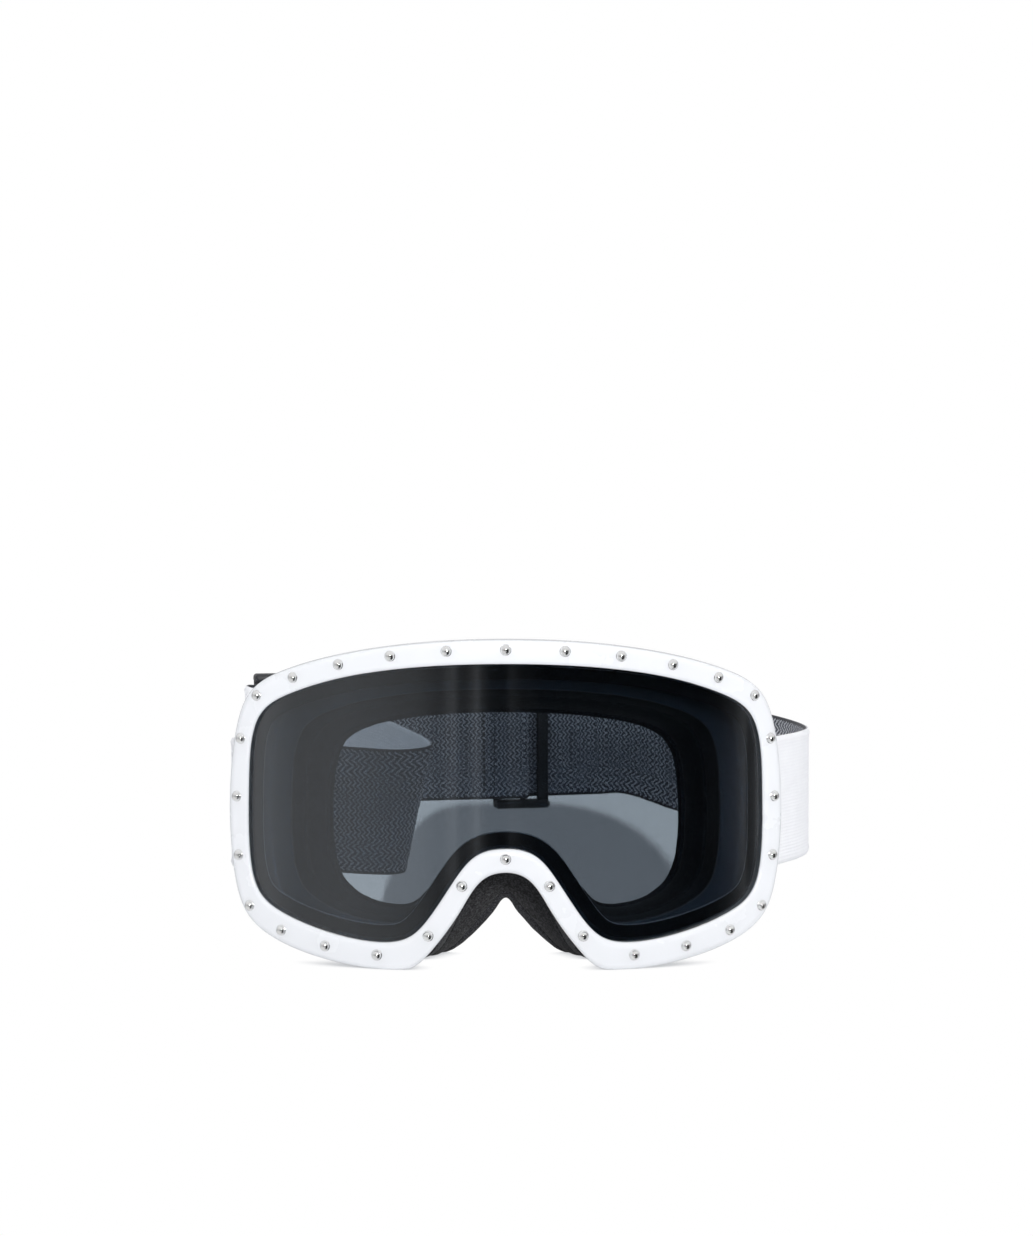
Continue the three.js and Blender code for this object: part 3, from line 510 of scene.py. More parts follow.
RIM_OUTLINE = outline(RIM_SHAPE, HALF, -SOLE_TRIM, FRAME_HEIGHT)
LENS_OUTLINE = outline(LENS_SHAPE, HALF - RIM_SIDE, RIM_BOTTOM, FRAME_HEIGHT - RIM_TOP)
FLANGE_OUTLINE = outline(
    FLANGE_SHAPE, HALF - FLANGE_SIDE, FLANGE_BOTTOM, FRAME_HEIGHT - FLANGE_TOP)
FOAM_OUTLINE = outline(FOAM_SHAPE, HALF - FOAM_SIDE, -SOLE_TRIM, FRAME_HEIGHT - FOAM_TOP, 2.0)
FACE_OUTLINE = outline(FACE_SHAPE, FACE_HALF, FACE_BOTTOM_MARGIN, FRAME_HEIGHT - FACE_TOP_MARGIN)
STEP_OUTLINE = between(LENS_OUTLINE, FACE_OUTLINE, 0.5)
FOAM_FRONT_OUTLINE = outline(
    FOAM_FRONT_SHAPE, HALF - FLANGE_SIDE, FLANGE_BOTTOM, FRAME_HEIGHT - FLANGE_TOP)
CHASSIS_OUTLINE = inset(RIM_OUTLINE, RIM_WALL + GAP)
CHASSIS_INSIDE = inset(RIM_OUTLINE, RIM_WALL + GAP + 2.0)


def bowed(x, radius):
    return radius - np.sqrt(radius * radius - x * x)


def behind_rim(depth):
    return lambda x: bowed(x, FRONT_RADIUS) + depth


def chassis_rear(ahead):
    return lambda x: CHASSIS_DEPTH - ahead + bowed(x, CHASSIS_RADIUS)


def skin_side(x):
    return FACE_DEPTH + bowed(x, FACE_RADIUS)


def foam_surface(share, shift=0.0):
    def surface(x):
        start = chassis_rear(-GAP)(x)
        return start + (skin_side(x) - start) * share + shift
    return surface


def on_surface(points, surface):
    return np.stack([points[:, 0], surface(points[:, 0]), points[:, 1]], axis=1)


def round_corners(loops, radii, segments):
    """Each loop of the section with its corners rounded, as a longer list of loops."""
    out = []
    for j, (corner, radius) in enumerate(zip(loops, radii)):
        before, after = loops[j - 1], loops[(j + 1) % len(loops)]
        to_before, to_after = before - corner, after - corner
        long_before = np.linalg.norm(to_before, axis=1)[:, None]
        long_after = np.linalg.norm(to_after, axis=1)[:, None]
        start = corner + to_before / long_before * np.minimum(radius, long_before * 0.46)
        end = corner + to_after / long_after * np.minimum(radius, long_after * 0.46)
        for k in range(segments + 1):
            t = k / segments
            out.append(start * (1 - t) ** 2 + corner * 2 * t * (1 - t) + end * t ** 2)
    return out


def ring(name, section, segments=4, sharp=None, lined=()):
    """A closed ring. The section is a list of (outline, surface, corner radius), and lined
    holds the walls, counted from the corner they start at, that take the second material."""
    loops = [on_surface(points, surface) for points, surface, _ in section]
    loops = round_corners(loops, [radius for _, _, radius in section], segments)
    stations, count = len(loops[0]), len(loops)
    points = np.stack(loops, axis=1).reshape(-1, 3)
    points[:, 2] = np.maximum(points[:, 2], 0.0)
    piece = mesh_object(name, points, tube_faces(stations, count, closed=True), sharp)
    if lined:
        walls = np.array([j // (segments + 1) in lined for j in range(count)] * stations)
        piece.data.polygons.foreach_set("material_index", walls.astype(np.int32))
    return piece


# ---- rim, studs and lenses -------------------------------------------------------------------


def make_rim(material):
    section = [
        (RIM_OUTLINE, behind_rim(0.0), 2.2),
        (RIM_OUTLINE, behind_rim(RIM_DEPTH), 0.7),
        (inset(RIM_OUTLINE, RIM_WALL), behind_rim(RIM_DEPTH), 0.5),
        (inset(RIM_OUTLINE, RIM_WALL), behind_rim(RIM_PLATE), 0.8),
        (LENS_OUTLINE, behind_rim(RIM_PLATE), 0.25),
        (LENS_OUTLINE, behind_rim(0.9), 0.4),
        (between(LENS_OUTLINE, RIM_OUTLINE, 0.14), behind_rim(0.0), 0.9),
    ]
    rim = ring("outer_frame_shell", section, segments=6)
    return finish_piece(rim, "goggles", material, "white_frame", "outer_frame")


def lathe(name, profile, sides):
    """A turned shape about its own Z, from (radius, z) in millimetres; radius 0 closes it."""
    points, faces, rings = [], [], []
    for radius, height in profile:
        if radius < 1e-6:
            rings.append([len(points)])
            points.append((0.0, 0.0, height))
            continue
        start = len(points)
        rings.append(list(range(start, start + sides)))
        for k in range(sides):
            angle = 2 * math.pi * k / sides
            points.append((radius * math.cos(angle), radius * math.sin(angle), height))
    for low, high in zip(rings, rings[1:]):
        for k in range(sides):
            m = (k + 1) % sides
            if len(low) == 1:
                faces.append((low[0], high[m], high[k]))
            elif len(high) == 1:
                faces.append((low[k], low[m], high[0]))
            else:
                faces.append((low[k], low[m], high[m], high[k]))
    mesh = bpy.data.meshes.new(name)
    mesh.from_pydata([Vector(p) * MM for p in points], [], faces)
    mesh.shade_smooth()
    return mesh


def standing(seat, axis):
    """The transform that stands a turned shape on a seat in metres, along the axis."""
    turn = Vector(axis).to_track_quat("Z", "Y").to_matrix().to_4x4()
    return Matrix.Translation(seat) @ turn


def stud_profile():
    """A ball-headed rivet with a thin pressed skirt."""
    profile = [(0.0, -1.2), (0.75, -1.2), (0.78, -0.05), (1.62, -0.05), (1.74, 0.02),
               (1.78, 0.12), (1.7, 0.22), (1.58, 0.27)]
    dome, start = 1.52, math.radians(4)
    steps = 12
    for k in range(steps):
        angle = start + (math.pi / 2 - start) * k / steps
        profile.append((dome * math.cos(angle), 0.26 + 1.3 * math.sin(angle)))
    profile.append((0.0, 0.26 + 1.3))
    return profile


def make_studs(material):
    mesh = lathe("stud", stud_profile(), 28)
    mesh.materials.append(material)
    for number in range(1, 31):
        node = f"stud_{number:02d}"
        low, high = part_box(node)
        x = ((low.x + high.x) / 2 - ORIGIN.x) / MM
        z = (low.z + high.z) / 2 / MM
        turn = math.asin(x / FRONT_RADIUS)
        normal = Vector((math.sin(turn), -math.cos(turn), 0.0))
        seat = place((x, float(behind_rim(0.0)(x)), z))
        stud = new_object(f"rivet_{number:02d}", mesh)
        stud.matrix_world = standing(seat, normal)
        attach(stud, "goggles")
        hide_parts(node)


def extruded_plate(points, lift, bevel, segments):
    """A flat plate with softened edges: the points' face and its copy, moved by lift."""
    bm = bmesh.new()
    face = bm.faces.new([bm.verts.new(p) for p in points])
    copy = bmesh.ops.extrude_face_region(bm, geom=[face])["geom"]
    moved = [g for g in copy if isinstance(g, bmesh.types.BMVert)]
    bmesh.ops.translate(bm, verts=moved, vec=lift)
    lift = Vector(lift)
    edges = [e for e in bm.edges if abs((e.verts[0].co - e.verts[1].co).dot(lift)) < 1e-6]
    bmesh.ops.bevel(
        bm, geom=edges, offset=bevel, segments=segments, affect="EDGES", profile=0.5)
    return bm


def curved_plate(name, points, depth, thickness, strips=150, edge=0.2):
    """A lens: the outline cut from a sheet that is bent about a vertical axis."""
    bm = extruded_plate([(x, 0.0, z) for x, z in points], (0.0, thickness, 0.0), edge, 2)
    reach = max(abs(x) for x, _ in points)
    for k in range(1, strips):
        x = reach * (2 * k / strips - 1)
        bmesh.ops.bisect_plane(bm, geom=bm.verts[:] + bm.edges[:] + bm.faces[:],
                               plane_co=(x, 0, 0), plane_no=(1, 0, 0))
    bmesh.ops.recalc_face_normals(bm, faces=bm.faces)
    base = FRONT_RADIUS - depth
    for vert in bm.verts:
        x, d, z = vert.co
        turn = math.asin(max(-1.0, min(1.0, x / FRONT_RADIUS)))
        out = base - d
        vert.co = place((out * math.sin(turn) * FRONT_RADIUS / base,
                         FRONT_RADIUS - out * math.cos(turn), z))
    return new_object(name, mesh_from(name, bm, 12))


def make_lenses(smoke, clear, spacer, cut_edge):
    outer = curved_plate(
        "lens_front", inset(LENS_OUTLINE, -LENS_OVERLAP), LENS_DEPTH, LENS_THICKNESS)
    finish_piece(outer, "goggles", smoke, "smoke_lens", "outer_lens")
    inner = curved_plate(
        "lens_back", inset(LENS_OUTLINE, SPACER_INSET), INNER_LENS_DEPTH, INNER_LENS_THICKNESS)
    finish_piece(inner, "goggles", clear, "clear_lens", "inner_lens")
    outside = inset(LENS_OUTLINE, SPACER_INSET)
    inside = inset(LENS_OUTLINE, SPACER_INSET + SPACER_WIDTH)
    front, back = behind_rim(SPACER_DEPTH), behind_rim(SPACER_DEPTH + SPACER_THICKNESS)
    gasket = ring("spacer_gasket", [
        (outside, front, 0.3), (outside, back, 0.3), (inside, back, 0.5), (inside, front, 0.5)],
        lined=(2,))
    finish_piece(gasket, "goggles", spacer, "spacer_foam", "lens_spacer", lining=cut_edge)


# ---- chassis and foam ------------------------------------------------------------------------


def boolean(target, cutters, operation="DIFFERENCE"):
    for cutter in cutters:
        modifier = target.modifiers.new("cut", "BOOLEAN")
        modifier.object = cutter
        modifier.operation = operation
        modifier.solver = "EXACT"
    bpy.context.view_layer.update()
    graph = bpy.context.evaluated_depsgraph_get()
    mesh = bpy.data.meshes.new_from_object(target.evaluated_get(graph))
    target.modifiers.clear()
    target.data = mesh
    for cutter in cutters:
        bpy.data.objects.remove(cutter)


def rounded_box(name, low, high, radius, segments=3, to_frame=Vector):
    """A box with rounded edges; to_frame takes its corners' frame to the goggles' own."""
    bm = bmesh.new()
    bmesh.ops.create_cube(bm, size=1.0)
    for vert in bm.verts:
        share = vert.co + Vector((0.5, 0.5, 0.5))
        vert.co = Vector((low[i] + (high[i] - low[i]) * share[i] for i in range(3)))
    bmesh.ops.bevel(
        bm, geom=bm.edges[:], offset=radius, segments=segments, affect="EDGES", profile=0.5)
    for vert in bm.verts:
        vert.co = place(to_frame(vert.co))
    return new_object(name, mesh_from(name, bm, 40))


def rod(name, centre, axis, radius, length, bevel=0.2, sides=40):
    """A round bar with softened ends, in the goggles' own frame."""
    end, flat = length / 2, radius - bevel
    mesh = lathe(name, [(0.0, -end), (flat, -end), (radius, -end + bevel),
                        (radius, end - bevel), (flat, end), (0.0, end)], sides)
    mesh.transform(standing(place(centre), axis))
    shade(mesh, 40)
    return new_object(name, mesh)


VENT_PITCH, VENT_HALF = 13.0, 4.5


def make_chassis(material, matt):
    front, bend = behind_rim(SPACER_DEPTH), behind_rim(SPACER_DEPTH + 2.0)
    section = [
        (CHASSIS_OUTLINE, front, 0.4),
        (CHASSIS_OUTLINE, bend, 1.2),
        (FLANGE_OUTLINE, chassis_rear(2.0), 0.5),
        (FLANGE_OUTLINE, chassis_rear(0.0), 0.4),
        (STEP_OUTLINE, chassis_rear(0.0), 0.4),
        (STEP_OUTLINE, chassis_rear(2.0), 0.5),
        (between(FLANGE_OUTLINE, STEP_OUTLINE, 0.25), chassis_rear(2.0), 1.5),
        (CHASSIS_INSIDE, bend, 1.0),
        (CHASSIS_INSIDE, front, 0.4),
    ]
    body = ring("inner_frame", section, segments=3, sharp=50, lined=(5, 6))
    places = [(x * VENT_PITCH, FRAME_HEIGHT) for x in range(-3, 4)]
    places += [(side * (FRAME_WIDTH * 0.26 + i * VENT_PITCH), 0.0)
               for side in (-1, 1) for i in (0, 1)]
    cutters = []
    for number, (x, z) in enumerate(places):
        start = float(behind_rim(RIM_DEPTH)(x)) + 1.5
        end = float(chassis_rear(2.0)(x)) - 2.0
        cutters.append(rounded_box(
            f"vent_{number}", (x - VENT_HALF, start, z - 16), (x + VENT_HALF, end, z + 16), 1.0))
    boolean(body, cutters)
    for side in (-1, 1):
        boss = rod(f"boss_{side}", (side * 81.6, PIVOT.y, PIVOT.z), (1, 0, 0), 4.2, 4.8, 0.3)
        boolean(body, [boss], "UNION")
    shade(body.data, 42)
    return finish_piece(body, "goggles", material, "black_frame", "chassis", lining=matt)


def ruffle(piece, size, amount, seed):
    """Pushes each point along its normal by smooth noise, for a surface that isn't machined."""
    shift = Vector((seed * 7.3, seed * 1.9, seed * 4.1))
    mesh = piece.data
    normals = [v.normal.copy() for v in mesh.vertices]
    for vert, normal in zip(mesh.vertices, normals):
        push = noise.fractal(vert.co / (size * MM) + shift, 1.0, 2.0, 3)
        vert.co += normal * push * amount * MM
        vert.co.z = max(vert.co.z, 0.0)


def make_foam(dense, soft, fleece, painted_shade):
    rows = [
        ("base_foam", 0, dense, "face_foam", "foam_base", 0.8),
        ("soft_foam", 1, soft, "face_foam", "foam_middle", 1.6),
        ("skin_fleece", 2, fleece, "fleece", "foam_fleece", 1.1),
    ]
    for name, layer, material, slot, node, radius in rows:
        start, end = FOAM_SHARES[layer], FOAM_SHARES[layer + 1]
        front = foam_surface(start, GAP if layer else 0.0)
        half_way = foam_surface((start + end) / 2, GAP / 2 if layer else 0.0)
        back, crown = foam_surface(end), foam_surface(end, 0.25)
        outer = [between(FOAM_FRONT_OUTLINE, FOAM_OUTLINE, share) for share in (start, end)]
        inner = [between(STEP_OUTLINE, FACE_OUTLINE, share) for share in (start, end)]
        swell = 0.5 if layer == 1 else 0.2
        section = [
            (outer[0], front, radius * 0.5),
            (inset(between(*outer, 0.5), -swell), half_way, 2.0),
            (outer[1], back, radius),
            (between(outer[1], inner[1], 0.33), crown, 1.0),
            (between(outer[1], inner[1], 0.67), crown, 1.0),
            (inner[1], back, radius),
            (inset(between(*inner, 0.5), swell), half_way, 2.0),
            (inner[0], front, radius * 0.5),
        ]
        # The walls that face the opening, from corners 5 and 6, take a darker copy of the foam:
        # painted shade.
        piece = ring(name, section, segments=4, lined=(5, 6))
        ruffle(piece, 5.0, 0.12, layer + 1)
        shade(piece.data)
        finish_piece(piece, "goggles", material, slot, node, lining=painted_shade)


def make_vent_foam(material):
    rows = [("vent_foam_top", -2, 2, "vent_pad_top"),
            ("vent_foam_bottom_right", 9, 11, "vent_pad_right"),
            ("vent_foam_bottom_left", 21, 23, "vent_pad_left")]
    bend = behind_rim(SPACER_DEPTH + 2.0)
    across = 10
    for node, first, last, name in rows:
        stations = range(first * STEPS_PER_POINT, last * STEPS_PER_POINT + 1)
        points = []
        for k in stations:
            i = k % len(RIM_OUTLINE)
            front = on_surface(CHASSIS_OUTLINE[i:i + 1], bend)[0]
            back = on_surface(FLANGE_OUTLINE[i:i + 1], chassis_rear(2.0))[0]
            lift = 1.0 if front[2] > FRAME_HEIGHT / 2 else -1.0
            share = (float(behind_rim(RIM_DEPTH + GAP)(front[0])) - front[1]) / (back[1] - front[1])
            to_end = min(k - stations[0], stations[-1] - k) / 4
            row = [front + (back - front) * (share + (0.95 - share) * j / (across - 1))
                   for j in range(across)]
            for j, p in enumerate(row):
                puff = 1.5 * (1 - abs(2 * j / (across - 1) - 1) ** 5) * min(1.0, to_end) ** 0.5
                points.append((p[0], p[1], p[2] + lift * (0.45 + puff)))
            points += [(p[0], p[1], p[2] + lift * 0.4) for p in reversed(row)]
        faces = tube_faces(len(stations), across * 2)
        pad = mesh_object(name, points, faces, sharp=70)
        finish_piece(pad, "goggles", material, "vent_foam", node)


# ---- clips, pins and sliders -----------------------------------------------------------------


def arc(centre, radius, start, sweep, steps):
    """Points of an arc about a vertical axis, or about the third axis of a flat plate."""
    return [Vector((centre[0] + radius * math.cos(start + sweep * k / steps),
                    centre[1] + radius * math.sin(start + sweep * k / steps), centre[2]))
            for k in range(steps + 1)]


CLIP_REACH, CLIP_BAR_RADIUS, CLIP_THICKNESS, CLIP_HUB = 17.0, 1.5, 2.4, 4.6
LOOP_INSIDE = STRAP_WIDTH / 2 + 0.8         # half the opening that the webbing runs through
LOOP_OUTSIDE = LOOP_INSIDE + 3.2
PIN_BORE = 2.15                             # radius of the clip's hole round the pin


def clip_outline():
    """The yoke as (back, up, 0): a hub on the pivot, and two arms to the bar's ends."""
    hub, tip = CLIP_HUB, CLIP_REACH + CLIP_BAR_RADIUS
    upper = [(-hub * 0.25, hub * 0.968), (CLIP_REACH - 6.5, LOOP_OUTSIDE - 1.2),
             (CLIP_REACH - 5, LOOP_OUTSIDE), (tip - 0.8, LOOP_OUTSIDE),
             (tip, LOOP_OUTSIDE - 0.8), (tip, LOOP_INSIDE), (CLIP_REACH - 3.2, LOOP_INSIDE),
             (CLIP_REACH - 4.6, LOOP_INSIDE - 1.2), (hub + 0.4, 3.6), (hub, 2.4)]
    both = upper + [(a, -b) for a, b in reversed(upper)]
    round_hub = arc((0, 0, 0), hub, -math.radians(104), -math.radians(152), 16)[1:-1]
    return [(a, b, 0.0) for a, b in both] + round_hub


def make_clips(material, metal):
    for word, side in (("left", -1), ("right", 1)):
        bm = extruded_plate(clip_outline(), (0.0, 0.0, CLIP_THICKNESS), 0.45, 3)
        for vert in bm.verts:
            back, up, out = vert.co
            vert.co = place((side * (PIVOT.x + out), PIVOT.y + back, PIVOT.z + up))
        bmesh.ops.recalc_face_normals(bm, faces=bm.faces)
        yoke = new_object(f"clip_{word}", mesh_from(f"clip_{word}", bm, 38))
        bar = rod(f"clip_bar_{word}", (side * CLIP_BAR.x, CLIP_BAR.y, CLIP_BAR.z), (0, 0, 1),
                  CLIP_BAR_RADIUS, LOOP_INSIDE * 2 + 2.0)
        bore = rod(f"clip_bore_{word}", (side * (PIVOT.x + CLIP_THICKNESS / 2), PIVOT.y, PIVOT.z),
                   (1, 0, 0), PIN_BORE, 6.0)
        boolean(yoke, [bar], "UNION")
        boolean(yoke, [bore])
        shade(yoke.data, 38)
        finish_piece(yoke, "strap", material, "black_frame", f"strap_clip_{word}")

        profile = [(0.0, 0.0), (2.0, 0.0), (2.0, 7.25), (3.1, 7.25), (3.1, 7.9), (2.7, 8.3),
                   (1.6, 8.45), (1.5, 8.0), (0.0, 8.0)]
        mesh = lathe(f"pin_{word}", profile, 36)
        mesh.transform(standing(place((side * (PIVOT.x - 4.7), PIVOT.y, PIVOT.z)), (side, 0, 0)))
        shade(mesh, 35)
        pin = new_object(f"pin_{word}", mesh)
        finish_piece(pin, "goggles", metal, "pin_steel", f"pivot_pin_{word}")


def back_point(along, away, up=0.0):
    return BACK_MIDDLE + ALONG * along + AWAY * away + Vector((0, 0, up))


SOLID_WEB_HALF = 0.75                       # half the solids' webbing, a little thicker
LAYER_OFFSET = 1.0                          # each webbing from the doubled stretch's middle
WEB_NEAR, WEB_FAR = LAYER_OFFSET - SOLID_WEB_HALF, LAYER_OFFSET + SOLID_WEB_HALF
MIDDLE_BAR_RADIUS, TAB_HALF, TAB_CLEARANCE = 1.0, 0.5, 0.15
TAB_BACK = WEB_NEAR - GAP - TAB_HALF
TAB_RADIUS = MIDDLE_BAR_RADIUS + TAB_CLEARANCE + TAB_HALF
PIN_AT = TAB_BACK - TAB_RADIUS
TAB_FRONT = PIN_AT - TAB_RADIUS
SLIDER_HALF, SLIDER_TRAVEL = 10.3, 20.0
TAB_LENGTH, LAP_MARGIN = 24.0, 1.0


def make_sliders(material):
    """Two rails, a round middle bar, a bare bar in front and one behind the webbing."""
    thick = 1.6
    low, high = PIN_AT - MIDDLE_BAR_RADIUS, WEB_FAR + GAP + thick
    half, tip = SLIDER_HALF, LOOP_INSIDE + 1.6
    blocks = [          # name, two opposite corners, radius of the edges
        ("rail_low", (-half, low, -LOOP_OUTSIDE), (half, high, -LOOP_INSIDE), 1.2),
        ("rail_high", (-half, low, LOOP_INSIDE), (half, high, LOOP_OUTSIDE), 1.2),
        ("bar_front", (half - 4.6, WEB_NEAR - GAP - thick, -tip),
         (half - 0.02, WEB_NEAR - GAP, tip), 0.55),
        ("bar_back", (-half + 0.02, WEB_FAR + GAP, -tip),
         (-half + 3.5, high - 0.02, tip), 0.55),
    ]
    for word, at, flip in (("right", SLIDER_RIGHT_AT, 1), ("left", SLIDER_LEFT_AT, -1)):
        def local(p, at=at, flip=flip):
            return back_point(at + flip * p[0], flip * p[1], p[2])

        body, *bars = [rounded_box(f"{name}_{word}", a, b, radius, 4, local)
                       for name, a, b, radius in blocks]
        bars.append(rod(f"bar_middle_{word}", local((0, PIN_AT, 0)), (0, 0, 1),
                        MIDDLE_BAR_RADIUS, 2 * LOOP_OUTSIDE - 2.0))
        boolean(body, bars, "UNION")
        shade(body.data, 50)
        body.name = f"tri_glide_{word}"
        finish_piece(body, f"slider_{word}", material, "slider_plastic", f"slider_{word}")


# ---- webbing ---------------------------------------------------------------------------------


def resample(points, step):
    lengths = np.concatenate([[0], np.cumsum(np.linalg.norm(np.diff(points, axis=0), axis=1))])
    at = np.linspace(0, lengths[-1], max(2, int(lengths[-1] / step)))
    return np.stack([np.interp(at, lengths, points[:, k]) for k in range(3)], axis=1), at


def web(name, path, inside_sign, lean=None, u_start=0.0, step=1.2, across=30):
    """Webbing on edge along a path, and its length. lean(u) tips its top, in millimetres
    towards the left of the path's direction; inside_sign says which face is the head's."""
    path, at = resample(np.array([tuple(p) for p in path], float), step)
    along = np.gradient(path, axis=0)
    along[:, 2] = 0.0
    along /= np.linalg.norm(along, axis=1)[:, None]
    half_w, half_t = STRAP_WIDTH / 2, STRAP_THICKNESS / 2
    section = [(half_w, half_t * 0.55)]
    for k in range(1, across):
        bead = 0.28 if k in (1, across - 1) else 0.0
        section.append((half_w - 2 * half_w * k / across, half_t + bead))
    section.append((-half_w, half_t * 0.55))
    loop = section + [(v, -t) for v, t in reversed(section)]
    points, uvs, inside = [], [], []
    for p, d, u in zip(path, along, at):
        tip = lean(u) if lean else 0.0
        for v, t in loop:
            offset = t + tip * (v / half_w)
            points.append((p[0] - d[1] * offset, p[1] + d[0] * offset, p[2] + v))
            uvs.append((u + u_start, v + half_w))
            inside.append(1.0 if t * inside_sign > 0 else 0.0)
    mesh = bpy.data.meshes.new(name)
    mesh.from_pydata([place(p) for p in points], [], tube_faces(len(path), len(loop)))
    corners = np.array([corner.vertex_index for corner in mesh.loops])
    weave = mesh.uv_layers.new(name="weave")
    weave.data.foreach_set("uv", np.array(uvs, np.float32)[corners].ravel())
    inner = mesh.attributes.new("inside", "FLOAT", "POINT")
    inner.data.foreach_set("value", np.array(inside, np.float32))
    face_outwards(mesh)
    shade(mesh)
    return new_object(name, mesh), float(at[-1])


CLIP_LOOP = CLIP_BAR_RADIUS + GAP + SOLID_WEB_HALF
SEWN_TAIL = 14.0
TAIL_GAP = STRAP_THICKNESS + 0.15


def clip_loop(side, bends):
    """Round the clip's bar, with the tail brought back against the inside of the webbing."""
    centre = Vector((side * CLIP_BAR.x, CLIP_BAR.y, CLIP_BAR.z))
    outer = catmull(bends[:4], 12)
    tail = []
    for back in (SEWN_TAIL, 10.0, 6.5):
        x = float(np.interp(CLIP_BAR.y + back, outer[:, 1], outer[:, 0]))
        tail.append((x - side * TAIL_GAP, CLIP_BAR.y + back, centre.z))
    start, sweep = (math.pi, math.pi) if side > 0 else (0.0, -math.pi)
    turn = arc(centre, CLIP_LOOP, start, sweep, 14)
    return [Vector(p) for p in catmull([*tail, tuple(turn[0])], 8)[:-1]] + turn


def slider_loop(at, flip, lap):
    """The sewn end: along the front of the middle bar, round it, and back behind it."""
    points = [back_point(at - flip * lap, flip * TAB_FRONT),
              back_point(at - flip * 4, flip * TAB_FRONT)]
    for k in range(13):
        angle = -math.pi / 2 + math.pi * k / 12
        points.append(back_point(at + flip * TAB_RADIUS * math.cos(angle),
                                 flip * (PIN_AT + TAB_RADIUS * math.sin(angle))))
    points += [back_point(at - flip * behind, flip * TAB_BACK) for behind in (6, 22)]
    return points


def seam(name, body, material, spots):
    """Rows of stitches across the webbing; each spot is a row's middle and the way it faces."""
    bm = bmesh.new()
    up, pitch = Vector((0, 0, 1)), 2.3
    for middle, face in spots:
        turned = Matrix((up, face.cross(up), face)).transposed().to_4x4()
        for k in range(-8, 9):
            seat = place(Vector(middle) + face * (STRAP_THICKNESS / 2 + 0.04) + up * pitch * k)
            size = Matrix.Diagonal((0.92 * MM, 0.27 * MM, 0.2 * MM, 1.0))
            bmesh.ops.create_uvsphere(bm, u_segments=8, v_segments=6, radius=1.0,
                                      matrix=Matrix.Translation(seat) @ turned @ size)
    return finish_piece(new_object(name, mesh_from(name, bm)), body, material, "webbing")


def clip_seam(name, material, path, side):
    """Two rows through the webbing and its tail, just behind the clip's bar."""
    outer = [p for p in path if side * p[0] > CLIP_BAR.x and p[1] < CLIP_BAR.y + 20]
    spots = []
    for row in CLIP_STITCH_ROWS:
        k = min(range(1, len(outer) - 1), key=lambda i: abs(outer[i][1] - CLIP_BAR.y - row))
        along = (outer[k + 1] - outer[k - 1]).normalized()
        face = Vector((abs(along.y), -along.x * math.copysign(1, along.y), 0.0)) * side
        spots.append((tuple(outer[k]), face.normalized()))
    return seam(name, "strap", material, spots)


def over_the_tab(own, other, flip):
    """From a slider of its own, over the other slider's sewn tab, to its own sewn end."""
    lap = own + flip * (SLIDER_TRAVEL + SLIDER_HALF + LAP_MARGIN)
    lap_end = other - flip * (SLIDER_TRAVEL + TAB_LENGTH + LAP_MARGIN)
    return [back_point(lap, -flip * LAYER_OFFSET), back_point(lap_end, flip * TAB_FRONT),
            *slider_loop(other, flip, 30)]


FOLD_LEAN, FOLD_SPREAD = 4.6, 15.0  # how far the left strap's sharp turn leans, and how long
STRAP_BULGE = 17.5
STITCH_ROWS = (11.5, 15.5)          # from a slider's middle bar
CLIP_STITCH_ROWS = (7.0, 11.0)      # from a clip's bar


